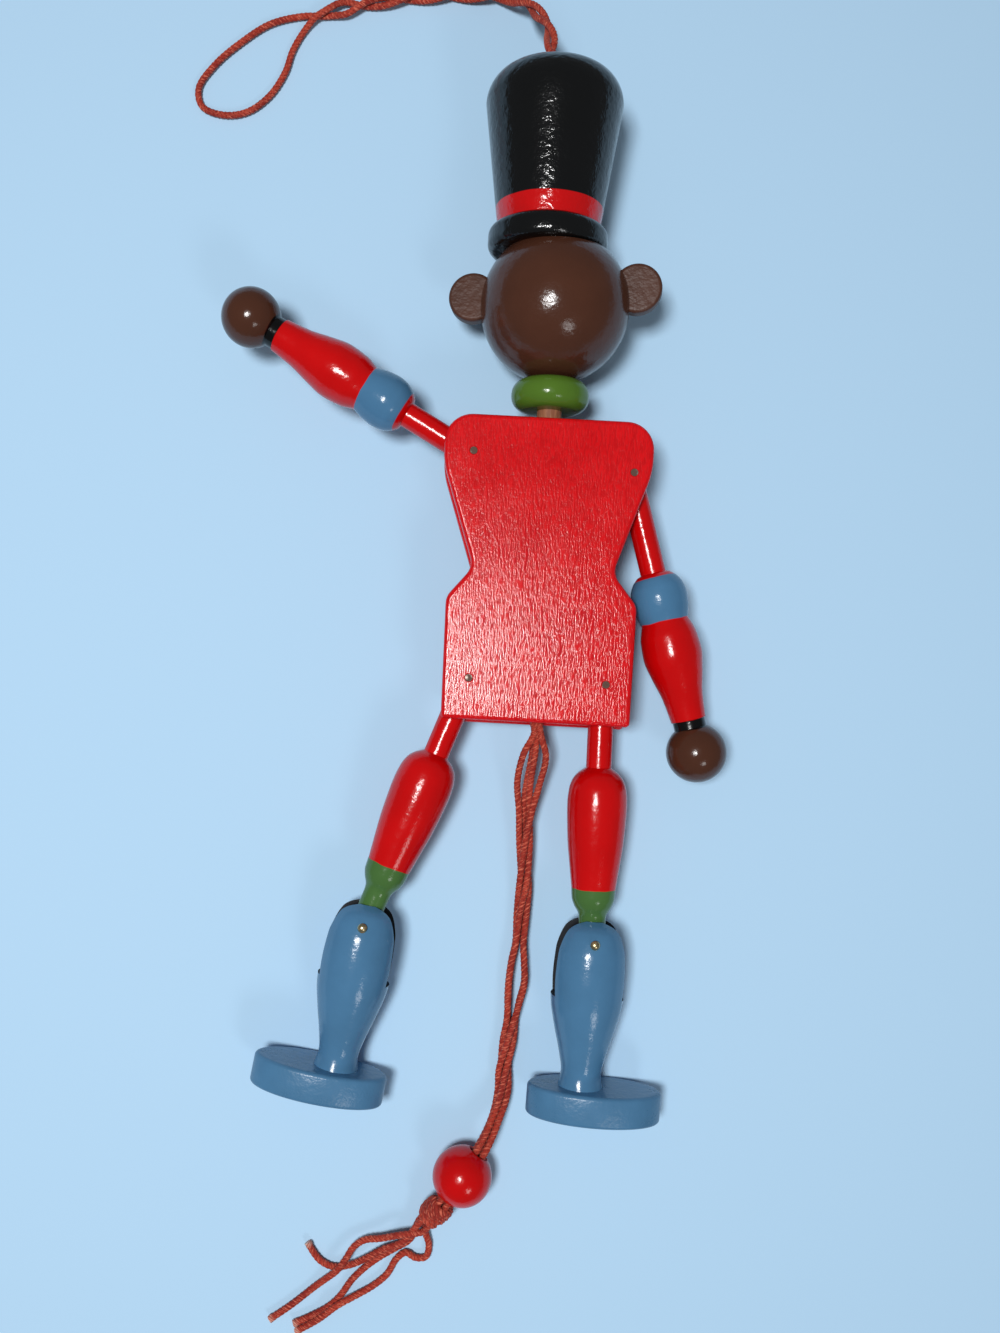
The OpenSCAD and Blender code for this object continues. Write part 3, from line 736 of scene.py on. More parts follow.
def plate(outline: Sequence[Point], low: float, high: float, edge: float, steps: int = 5) -> Mesh:
    """A flat piece with rounded edges, in millimetres, lying across z."""
    quarter = [math.pi / 2 * k / steps for k in range(steps + 1)]
    rim = edge * 1.05
    levels = [(low, rim)]
    levels += [(low + edge * (1 - math.cos(q)), edge * (1 - math.sin(q))) for q in quarter]
    levels += [(high - edge * (1 - math.sin(q)), edge * (1 - math.cos(q))) for q in quarter]
    levels.append((high, rim))
    points = [Vector((x, y, z)) * MM for z, depth in levels for x, y in inset(outline, depth)]
    count, top = len(outline), (len(levels) - 1) * len(outline)
    faces = [tuple(reversed(range(count))), tuple(range(top, top + count))]
    for ring in range(0, top, count):
        for i in range(count):
            j = (i + 1) % count
            faces.append((ring + i, ring + j, ring + count + j, ring + count + i))
    mesh = bpy.data.meshes.new("plate")
    mesh.from_pydata([tuple(p) for p in points], [], faces)
    return mesh


def cut(mesh: Mesh, tools: Sequence[Mesh]) -> Mesh:
    """The mesh with other closed meshes taken out of it."""
    holder = placed("cut_holder", mesh)
    others = [placed("cut_tool", tool) for tool in tools]
    for other in others:
        modifier = holder.modifiers.new("cut", "BOOLEAN")
        modifier.operation, modifier.solver, modifier.object = "DIFFERENCE", "EXACT", other
    result = evaluated(holder)
    for other in (holder, *others):
        bpy.data.objects.remove(other)
    return result


def box_mesh(low: Point, high: Point) -> Mesh:
    """A plain box between two corners in millimetres."""
    form = bmesh.new()
    bmesh.ops.create_cube(form, size=1.0)
    for vert in form.verts:
        vert.co = Vector([(a + b) / 2 + c * (b - a) for a, b, c in zip(low, high, vert.co)]) * MM
    mesh = bpy.data.meshes.new("box")
    form.to_mesh(mesh)
    form.free()
    return mesh


def piece(kit: Kit, name: str, mesh: Mesh, finish: Finish, body: str | None, slot: str,
          *nodes: str) -> Object:
    """Makes a finished piece that stands for CAD nodes.

    Args:
        kit: Shared trees and materials.
        name: The piece's name.
        mesh: Its mesh, in the row frame.
        finish: Its finish.
        body: The CAD body it rides, or None for a piece that rides no body.
        slot: The record's material slot; not used.
        nodes: The CAD nodes it stands for.

    Returns:
        The object.
    """
    mesh.name = name
    mesh.materials.clear()
    mesh.materials.append(kit.material(finish))
    thing = placed(name, mesh)
    if body:
        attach(thing, body)
    if nodes:
        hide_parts(*nodes)
    LOG.info("%s: %d faces", name, len(mesh.polygons))
    return thing


# Strings

def between(first: Vector, last: Vector, low: float, high: float, at: float) -> Vector:
    """The place at one time on a straight way that takes from low to high."""
    return first * ((high - at) / (high - low)) + last * ((at - low) / (high - low))


def runs_of(path: Sequence[Vector], start: float = 0.0) -> list[float]:
    """How far along a path each of its points lies."""
    runs = [start]
    for a, b in zip(path, path[1:]):
        runs.append(runs[-1] + (b - a).length)
    return runs


def spaced(fine: Sequence[Vector], step: float = PATH_STEP) -> list[Vector]:
    """Points a fixed step apart along a polyline."""
    runs = runs_of(fine)
    count = max(2, round(runs[-1] / step))
    result, place = [], 0
    for k in range(count + 1):
        want = runs[-1] * k / count
        while place < len(runs) - 2 and runs[place + 1] < want:
            place += 1
        span = max(1e-12, runs[place + 1] - runs[place])
        result.append(fine[place].lerp(fine[place + 1], (want - runs[place]) / span))
    return result


def smooth_path(points: Sequence[Vector]) -> list[Vector]:
    """A smooth path through the points, with its own points a fixed step apart."""
    pts = [points[0] * 2 - points[1], *points, points[-1] * 2 - points[-2]]
    fine = []
    for a, b, c, d in zip(pts, pts[1:], pts[2:], pts[3:]):
        knots = [0.0]
        for p, q in ((a, b), (b, c), (c, d)):
            knots.append(knots[-1] + max(1e-9, math.sqrt((q - p).length)))
        t0, t1, t2, t3 = knots
        for k in range(CURVE_STEPS):
            t = t1 + (t2 - t1) * k / CURVE_STEPS
            middle = between(b, c, t1, t2, t)
            one = between(between(a, b, t0, t1, t), middle, t0, t2, t)
            two = between(middle, between(c, d, t2, t3, t), t1, t3, t)
            fine.append(between(one, two, t1, t2, t))
    return spaced([*fine, points[-1].copy()])


def way_at(path: Sequence[Vector], i: int) -> Vector:
    """The direction of a path at one of its points."""
    return (path[min(i + 1, len(path) - 1)] - path[max(i - 1, 0)]).normalized()


def frames_of(path: Sequence[Vector]) -> tuple[list[Vector], list[Vector]]:
    """Two cross directions at each point of a path, carried along with no twist."""
    side = way_at(path, 0).orthogonal().normalized()
    sides, lifts = [], []
    for i in range(len(path)):
        way = way_at(path, i)
        side = (side - way * side.dot(way)).normalized()
        sides.append(side.copy())
        lifts.append(way.cross(side))
    return sides, lifts


@dataclass(frozen=True)
class Twine:
    """The red string: thickness and lay in millimetres, and its girth at clean and frayed ends."""

    radius: float = 1.0
    pitch: float = 3.8
    plies: int = 3
    groove: float = 0.22
    ring: int = 18
    end: float = 0.86
    frayed: float = 1.1
    loosened: float = 0.2

    def mesh(self, kit: Kit, path: Sequence[Vector], start: float = 0.0, fray: float = 0.0) -> Mesh:
        """The string laid along a path.

        Args:
            kit: Shared trees and materials.
            path: Row-frame points close together.
            start: How far along the string the path begins, in metres.
            fray: Length of the loosened tip at the path's end, in millimetres.

        Returns:
            The mesh.
        """
        sides, lifts = frames_of(path)
        runs, last = runs_of(path, start), len(path) - 1
        order = [0, 0, *range(1, last), last, last]
        tips = [max(0.0, 1.0 - (runs[-1] - r) / (fray * MM)) if fray else 0.0 for r in runs]
        girth = [0.0, self.end, *[1.0 + self.loosened * tip for tip in tips[1:-1]],
                 self.frayed if fray else self.end, 0.0]
        line = line_mesh([path[i] for i in order])
        for name, ways in (("side", sides), ("lift", lifts)):
            store = line.attributes.new(name, "FLOAT_VECTOR", "POINT")
            store.data.foreach_set("vector", [c for i in order for c in ways[i]])
        numbers = {"girth": girth, "run": [runs[i] for i in order], "tip": [tips[i] for i in order]}
        for name, values in numbers.items():
            line.attributes.new(name, "FLOAT", "POINT").data.foreach_set("value", values)
        inputs = {"Stations": len(order), "Ring Points": self.ring + 1, "Radius": self.radius * MM,
                  "Pitch": self.pitch * MM, "Plies": self.plies, "Groove": self.groove,
                  "Finish": kit.material(STRING)}
        return finished(kit.laying.run(line, inputs), Matrix(), STRING_SHARP_DEG)


# The figure's parts

PAINT_RED = Coat("red_enamel", Paint.RED)
BOARD_RED = Coat(
    "board_red", Paint.SCARLET, peel=0.13, grain=0.09, shine=0.4, matt=0.06, bump=0.22)
ARM_COAT = Coat("arm_paint", Paint.RED, (
    (1.0, Paint.BLUE), (13.0, Paint.RED), (41.0, Paint.BLACK), (43.7, Paint.BROWN)))
THIGH_COAT = Coat("thigh_paint", Paint.RED, ((0.0, Paint.GREEN),))
BLUE_COAT = Coat("blue_enamel", Paint.BLUE)
FOOT_COAT = Coat("foot_enamel", Paint.BLUE, peel=1.3, unevenness=0.4, matt=0.2)
COLLAR_COAT = Coat("collar_enamel", Paint.LEAF)
BROWN_COAT = Coat("brown_stain", Paint.BROWN, peel=0.7, unevenness=0.35)
EAR_COAT = Coat("ear_stain", Paint.BROWN, peel=2.2, unevenness=0.7, matt=0.36)
HAT_COAT = Coat(
    "hat_paint", Paint.BLACK, ((7.0, Paint.RED), (12.4, Paint.BLACK)), waver=0.15, peel=0.9,
    shine=0.55, matt=0.05, bump=0.22)
# Painted shade: the walls of the shin's slot are painted near black to stand for the shade inside
# the slot.
SLOT_SHADE_COAT = Coat("slot_painted_shade", Paint.DARK, unevenness=0.6, shine=0.2, matt=0.5)
STRING = StringFinish()

# Nails and angles of the limbs, and the hat's axis, in millimetres and degrees
SHOULDERS = {Side.LEFT: (-20.3, 31.2), Side.RIGHT: (23.2, 27.5)}
HIPS = {Side.LEFT: (-18.5, -30.0), Side.RIGHT: (18.5, -30.0)}
ARMS_OUT = {Side.LEFT: 119.0, Side.RIGHT: 16.5}
LEGS_OUT = {Side.LEFT: 20.0, Side.RIGHT: 0.5}
HAT_X = -2.9


def limb_root(limb_d: float, tail: float, end: float) -> list[Pair]:
    """Profile of a limb's dowel, from its rounded inner end past the nail to the given end."""
    r = limb_d / 2
    tip = r * 0.4
    return [(0.0, -tail), *arc((r - tip, tip - tail), tip, -90, 0, 6), (r, 0.0), (r, end)]


@dataclass(frozen=True)
class Torso:
    """The two boards, the collar, the head, the ears and the hat, in millimetres."""

    corners: tuple[Pair, ...] = (
        (28.3, 41.2), (28.3, 28.016), (18.9, 0.0), (25.8, -8.405), (25.5, -41.2))
    rounds: tuple[float, ...] = (7.5, 22.0, 5.0, 5.0, 1.2)
    board_gap: float = 7.6
    board_t: float = 4.5
    front_drop: float = 1.0
    edge: float = 1.1
    nail_r: float = 1.05
    dent_deep: float = 0.6
    dent_lip: float = 0.15
    dent_flare: float = 0.5
    dent_over: float = 0.2
    hole_reach: float = 9.0
    neck_r: float = 3.4
    collar_y: float = 44.4
    collar_d: float = 21.5
    collar_t: float = 8.5
    collar_round: float = 0.46
    head_d: float = 41.0
    head_y: float = 73.11608
    hat_seat: float = 14.3
    ear_d: float = 13.4
    ear_t: float = 4.6
    ear_at: float = 22.9
    ear_edge: float = 0.9
    ear_sink: float = 0.05
    ears_up: Pair = (6.0, 13.0)
    head_turn: float = 8.0
    hat_h: float = 50.0
    brim_d: float = 33.0
    brim_t: float = 7.0
    brim_round: float = 2.4
    foot_d: float = 28.2
    foot_round: float = 0.3
    crown_d: float = 37.8
    crown_round: float = 9.0
    crown_shares: tuple[float, ...] = (0.1, 0.25, 0.4, 0.55, 0.7, 0.85)
    hole_d: float = 5.0
    hole_round: float = 0.6

    def build(self, kit: Kit) -> None:
        """Makes the pieces."""
        self.boards(kit)
        self.collar(kit)
        self.head(kit)
        self.hat(kit)

    def boards(self, kit: Kit) -> None:
        """Both boards, the back one with the ends of four nails sunk in it."""
        corners = [*self.corners, *[(-x, y) for x, y in reversed(self.corners)]]
        outline = rounded_outline(corners, [*self.rounds, *reversed(self.rounds)])
        low, high = self.board_gap / 2, self.board_gap / 2 + self.board_t
        r, deep, over, reach = self.nail_r, self.dent_deep, self.dent_over, self.hole_reach
        dent = [(0.0, -deep), (r, -deep), (r, -self.dent_lip), (r + self.dent_flare, over),
                (0.0, over)]
        hole = [(0.0, -reach), (r, -reach), (r, reach), (0.0, reach)]
        nails = [*SHOULDERS.values(), *HIPS.values()]
        for name, drop, span, profile, level in (
                ("back_board", 0.0, (low, high), dent, high),
                ("front_board", self.front_drop, (-high, -low), hole, -low)):
            board = plate([(x, y - drop) for x, y in outline], *span, self.edge)
            tools = [turned(kit, profile, BOARD_RED, move(x, y, level) @ turn_about("X", 90.0),
                            NAIL_FACETS) for x, y in nails]
            board = finished(cut(finished(board, Matrix()), tools), LYING.matrix)
            piece(kit, name + "_painted", board, BOARD_RED, "torso", "red_paint", name)

    def collar(self, kit: Kit) -> None:
        """The green ring under the head."""
        low, high = self.collar_y, self.collar_y + self.collar_t
        bend, neck = self.collar_t * self.collar_round, self.neck_r
        out = self.collar_d / 2 - bend
        profile = [(neck, low), *arc((out, low + bend), bend, -90, 0, 10),
                   *arc((out, high - bend), bend, 0, 90, 10), (neck, high), (neck, low)]
        mesh = turned(kit, profile, COLLAR_COAT, LYING.matrix)
        piece(kit, "collar_painted", mesh, COLLAR_COAT, "torso", "green_paint", "collar")

    def head(self, kit: Kit) -> None:
        """The ball and its two ears."""
        r = self.head_d / 2
        top = math.degrees(math.asin(self.hat_seat / r))
        profile = [*arc((0.0, self.head_y), r, -90, top, 72), (0.0, self.head_y + self.hat_seat)]
        mesh = turned(kit, profile, BROWN_COAT, LYING.matrix, FINE_FACETS)
        piece(kit, "head_stained", mesh, BROWN_COAT, "torso", "brown_stain", "head")
        for side, up in zip(Side, self.ears_up):
            facing = (LYING.matrix @ move(0.0, self.head_y) @ turn_about("Z", side.value * up)
                      @ turn_about("Y", -self.head_turn))
            outline = ellipse(self.ear_d, self.ear_d, 72)
            disc = plate(outline, -self.ear_t / 2, self.ear_t / 2, self.ear_edge)
            disc.transform(move(side.value * self.ear_at, 0.0))
            ball = turned(
                kit, arc((0.0, 0.0), r - self.ear_sink, -90, 90, 48), BROWN_COAT, Matrix())
            ear = finished(cut(finished(disc, Matrix()), [ball]), facing)
            name = side.word + "_ear"
            piece(kit, name + "_stained", ear, EAR_COAT, "torso", "brown_stain", name)

    def hat(self, kit: Kit) -> None:
        """The tall hat with its band."""
        hole, brim, crown, foot = (
            d / 2 for d in (self.hole_d, self.brim_d, self.crown_d, self.foot_d))
        b, c, high, low = self.brim_round, self.crown_round, self.hat_h, self.brim_t
        profile = [(hole, 0.0), *arc((brim - b, b), b, -90, 0, 8),
                   *arc((brim - b, low - b), b, 0, 90, 8),
                   (foot + self.foot_round, low), (foot, low + self.foot_round)]
        rise = high - c - low
        profile += [(foot + (crown - foot) * s, low + rise * s) for s in self.crown_shares]
        profile += arc((crown - c, high - c), c, 0, 90, 18)
        profile += [(hole + self.hole_round, high), (hole, high - self.hole_round), (hole, 0.0)]
        place = LYING.matrix @ move(HAT_X, self.head_y + self.hat_seat)
        mesh = turned(kit, profile, HAT_COAT, place, FINE_FACETS)
        piece(kit, "hat_painted", mesh, HAT_COAT, "torso", "black_paint", "hat")


@dataclass(frozen=True)
class Arm:
    """One turned arm with its ball, forearm, cuff and hand, in millimetres.

    Attributes:
        side: The side of the figure.
        shank: Length of the dowel below the nail.
        steps: Short runs before the ball, the forearm and the cuff, where the girth jumps.
    """

    side: Side
    shank: float
    limb_d: float = 7.0
    tail: float = 8.5
    ball_len: float = 13.0
    ball_d: float = 15.5
    fore_len: float = 28.0
    fore_d: float = 16.2
    cuff_len: float = 2.4
    cuff_d: float = 8.8
    hand_d: float = 16.5
    steps: Triple = (0.4, 0.35, 0.25)
    palm_from: float = 2.0
    ball_shares: tuple = ((0, .6), (.12, .8), (.3, .95), (.5, 1), (.75, .96), (1, .85))
    fore_shares: tuple = ((0, .8), (.14, .95), (.33, 1), (.54, .87), (.76, .69), (1, .59))

    def build(self, kit: Kit) -> None:
        """Makes the piece."""
        before, after, last = self.steps
        profile = limb_root(self.limb_d, self.tail, self.shank - before)
        profile += swelling(self.ball_shares, self.shank, self.ball_len, self.ball_d / 2)
        at = self.shank + self.ball_len
        profile += swelling(self.fore_shares, at + after, self.fore_len - after, self.fore_d / 2)
        at += self.fore_len
        cuff, palm = self.cuff_d / 2, self.hand_d / 2
        profile += [(cuff, at + last), (cuff, at + self.cuff_len)]
        center = at + self.cuff_len + math.sqrt(palm ** 2 - cuff ** 2)
        wrist = math.degrees(math.asin((at + self.cuff_len - center) / palm))
        profile += arc((0.0, center), palm, wrist + self.palm_from, 90, 40)
        place = (LYING.matrix @ move(*SHOULDERS[self.side])
                 @ turn_about("Z", self.side.value * ARMS_OUT[self.side] + 180.0))
        mesh = turned(kit, profile, ARM_COAT, place, zero=self.shank)
        name = self.side.word + "_arm"
        piece(kit, name + "_painted", mesh, ARM_COAT, name, "red_paint", name)


@dataclass(frozen=True)
class Leg:
    """One leg: turned thigh, slotted shin and oval foot, in millimetres.

    Attributes:
        side: The side of the figure.
        thigh_len: From the nail to the knee's pin.
        knee_in: How far the shin is turned in at the knee, in degrees.
        steps: Short runs before the swelling, the cup and the neck, where the girth jumps.
    """

    side: Side
    thigh_len: float
    knee_in: float
    limb_d: float = 7.0
    tail: float = 11.0
    shank: float = 23.0
    swell_len: float = 33.0
    thigh_d: float = 16.5
    cup_len: float = 8.5
    neck_d: float = 7.4
    knee_tail: float = 4.5
    steps: Triple = (0.2, 0.3, 0.6)
    neck_round: float = 0.4
    shin_rise: float = 5.3
    shin_drop: float = 40.5
    shin_d: float = 20.5
    slot_deep: float = 21.0
    slot_w: float = 8.0
    slot_over: float = 5.0
    slack: float = 0.01
    foot: Triple = (37.0, 20.5, 8.5)
    foot_edge: float = 1.1
    foot_shift: float = 4.0
    swell_shares: tuple = (
        (0, .46), (.04, .68), (.1, .86), (.18, .96), (.3, 1), (.6, .94), (.85, .82), (1, .74))
    cup_shares: tuple = ((0, 1), (.3, .97), (.55, .86), (.78, .68), (.88, .63), (1, .61))
    shin_shares: tuple = (
        (0, .44), (.03, .66), (.06, .78), (.12, .89), (.2, .97), (.35, 1), (.5, .96), (.65, .82),
        (.81, .63), (.92, .54), (1, .6))

    @property
    def at_hip(self) -> Matrix:
        """The thigh's frame, with y down the limb."""
        return (LYING.matrix @ move(*HIPS[self.side])
                @ turn_about("Z", self.side.value * LEGS_OUT[self.side] + 180.0))

    @property
    def at_knee(self) -> Matrix:
        """The shin's frame, with y down the limb."""
        bend = turn_about("Z", -self.side.value * self.knee_in)
        return self.at_hip @ move(0.0, self.thigh_len) @ bend

    def build(self, kit: Kit) -> None:
        """Makes the pieces."""
        self.thigh(kit)
        self.shin(kit)
        self.sole(kit)

    def thigh(self, kit: Kit) -> None:
        """The turned thigh down to the neck in the shin's slot."""
        before, after, last = self.steps
        neck, end = self.neck_d / 2, self.thigh_len + self.knee_tail
        profile = limb_root(self.limb_d, self.tail, self.shank - before)
        profile += swelling(self.swell_shares, self.shank, self.swell_len, self.thigh_d / 2)
        at = self.shank + self.swell_len
        foot = self.swell_shares[-1][1] * self.thigh_d / 2
        profile += swelling(self.cup_shares, at + after, self.cup_len - after, foot)
        bend = neck * self.neck_round
        profile += [(neck, at + self.cup_len + last), (neck, end - bend),
                    *arc((neck - bend, end - bend), bend, 0, 90, 6), (0.0, end)]
        name = self.side.word + "_thigh"
        mesh = turned(kit, profile, THIGH_COAT, self.at_hip, zero=at)
        piece(kit, name + "_painted", mesh, THIGH_COAT, name, "red_paint", name)

    def shin(self, kit: Kit) -> None:
        """The turned shin with the slot for the knee, its walls painted near black as painted
        shade.
        """
        r, rise, half = self.shin_d / 2, self.shin_rise, self.slot_w / 2
        profile = [(0.0, -rise), *swelling(self.shin_shares, -rise, rise + self.shin_drop, r),
                   (0.0, self.shin_drop)]
        form = turned(kit, profile, BLUE_COAT, Matrix())
        end = self.slot_deep - rise
        form = cut(form, [box_mesh((-r * 2, -rise - self.slot_over, -half), (r * 2, end, half))])
        name, place = self.side.word + "_shin", self.at_knee
        mesh = finished(form, place)
        piece(kit, name + "_painted", mesh, BLUE_COAT, name, "blue_paint", name)
        # The slot's walls take the near-black painted shade.
        mesh.materials.append(kit.material(SLOT_SHADE_COAT))
        back = place.inverted()
        for polygon in mesh.polygons:
            spot = (back @ polygon.center) / MM
            if abs(spot.z) < half + self.slack and spot.y < end + self.slack:
                polygon.material_index = 1

    def sole(self, kit: Kit) -> None:
        """The oval foot under the shin."""
        wide, deep, thick = self.foot
        disc = finished(plate(ellipse(wide, deep), 0.0, thick, self.foot_edge), Matrix())
        outward = -self.side.value * self.foot_shift
        place = self.at_knee @ move(outward, self.shin_drop) @ turn_about("X", -90.0)
        name, body = self.side.word + "_foot", self.side.word + "_shin"
        piece(kit, name + "_painted", finished(disc, place), FOOT_COAT, body, "blue_paint", name)


@dataclass(frozen=True)
class Lamp:
    """A square lamp that looks at the figure, in millimetres and watts."""

    name: str
    place: Triple
    size: float
    power: float

    def build(self) -> None:
        """Makes the lamp."""
        data = bpy.data.lights.new(self.name, "AREA")
        data.size, data.energy = self.size * MM, self.power
        at = LYING.bench(self.place)
        facing = (-at).to_track_quat("-Z", "Y").to_matrix().to_4x4()
        placed(self.name, data).matrix_world = Matrix.Translation(at) @ facing


@dataclass(frozen=True)
class Floor:
    """The camera, the lamps, the pale ground and the light of the room.

    The camera's focal length and shift are in the photo's pixels, and the ground is in metres.
    """

    picture_h: float = 1333.0
    focal: float = 1200.0
    shift: Pair = (45.0, 23.5)
    sensor: float = 36.0
    near: float = 0.01
    camera_at: Triple = (-22.0, -33.5, 331.0)
    camera_turn: float = 2.99
    lamps: tuple[Lamp, ...] = (
        Lamp("key", (-205.0, -25.0, 950.0), 190.0, 7.6),
        Lamp("second", (480.0, -900.0, 1000.0), 300.0, 2.1))
    half: float = 6.0
    under: float = 0.0002
    ground_rough: float = 0.9
    room: tuple[float, float, float, float] = (0.86, 0.93, 1.0, 1.0)
    room_strength: float = 0.15

    def build(self) -> None:
        """Makes them."""
        self.camera()
        for lamp in self.lamps:
            lamp.build()
        self.ground()
        world = bpy.data.worlds.new("room")
        world.use_nodes = True
        light = world.node_tree.nodes["Background"].inputs
        light["Color"].default_value = self.room
        light["Strength"].default_value = self.room_strength
        bpy.context.scene.world = world
        bpy.context.scene.view_settings.view_transform = "Standard"

    def camera(self) -> None:
        """The camera of the photo, above the figure."""
        data = bpy.data.cameras.new("photo_camera")
        data.sensor_width, data.lens = self.sensor, self.sensor * self.focal / self.picture_h
        data.shift_x, data.shift_y = (pixels / self.picture_h for pixels in self.shift)
        data.clip_start = self.near
        camera = placed("photo_camera", data)
        facing = turn_about("X", LYING.tilt_deg) @ turn_about("Z", self.camera_turn)
        camera.matrix_world = Matrix.Translation(LYING.bench(self.camera_at)) @ facing
        bpy.context.scene.camera = camera

    def ground(self) -> None:
        """A wide pale sheet under the figure."""
        mesh = bpy.data.meshes.new("ground")
        corners = [(x * self.half, y * self.half, -self.under)
                   for x, y in ((-1, -1), (1, -1), (1, 1), (-1, 1))]
        mesh.from_pydata(corners, [], [(0, 1, 2, 3)])
        material = bpy.data.materials.new("ground")
        material.use_nodes = True
        shader = material.node_tree.nodes["Principled BSDF"].inputs
        shader["Base Color"].default_value = Paint.GROUND.value
        shader["Roughness"].default_value = self.ground_rough
        mesh.materials.append(material)
        placed("ground", mesh)


@dataclass(frozen=True)
class Strand:
    """One of the pull cord's four strings, in millimetres.

    Attributes:
        node: The CAD node of its loose end.
        place: Its corner in the bundle, across and up.
        hem: Its way from the boards to the bundle.
        end: Its way from the knot to its tip.
    """

    node: str
    place: tuple[int, int]
    hem: tuple[Triple, ...]
    end: tuple[Triple, ...]


STRANDS = (
    Strand(
        "curled_end", (-1, 1),
        ((0.5, -43.8, 15.2), (-2.1, -50.1, 13.4), (-3.3, -57.7, 10.8), (-2.3, -66.1, 8.6)),
        ((-28.7, -188.4, 2.9), (-34.2, -190.8, 2.9), (-38.6, -193.5, 2.6), (-43.1, -195.9, 1.7),
         (-47.6, -196.9, 1.1), (-51.3, -195.5, 1.1), (-53.7, -193.0, 1.1), (-55.3, -190.5, 1.1))),
    Strand(
        "long_end", (1, 1),
        ((2.1, -43.8, 15.2), (4.1, -50.6, 13.4), (2.9, -58.3, 10.8), (1.3, -66.0, 8.8)),
        ((-29.8, -186.0, 4.4), (-34.8, -187.5, 3.4), (-39.3, -188.5, 2.6), (-42.2, -190.4, 3.0),
         (-44.4, -193.8, 3.9), (-46.4, -196.6, 3.9), (-49.0, -199.4, 2.2), (-52.6, -202.6, 1.1),
         (-59.1, -208.1, 1.1), (-64.8, -212.3, 1.1))),
    Strand(
        "middle_end", (-1, -1),
        ((0.6, -43.8, 13.6), (0.3, -50.8, 11.4), (-0.7, -59.3, 8.8), (-1.0, -66.9, 7.0)),
        ((-26.6, -188.0, 1.5), (-30.7, -190.9, 1.1), (-34.7, -193.4, 1.1), (-38.6, -196.4, 1.1),
         (-42.4, -200.3, 1.1), (-45.6, -205.1, 1.1), (-49.0, -208.3, 1.1), (-53.9, -211.1, 1.1),
         (-58.0, -213.1, 1.1))),
    Strand(
        "bent_end", (1, -1),
        ((1.3, -43.8, 14.2), (1.0, -50.8, 12.8), (0.3, -59.3, 10.0), (0.7, -66.9, 7.4)),
        ((-22.2, -186.0, 2.4), (-21.2, -189.4, 1.4), (-21.9, -192.8, 1.1), (-24.8, -193.2, 1.1),
         (-27.6, -191.9, 1.2), (-30.2, -193.9, 1.1), (-32.6, -198.2, 1.1), (-36.4, -201.6, 1.1),
         (-41.1, -204.3, 1.7), (-45.9, -206.6, 3.1), (-51.0, -211.0, 2.2), (-57.2, -215.2, 1.1))),
)


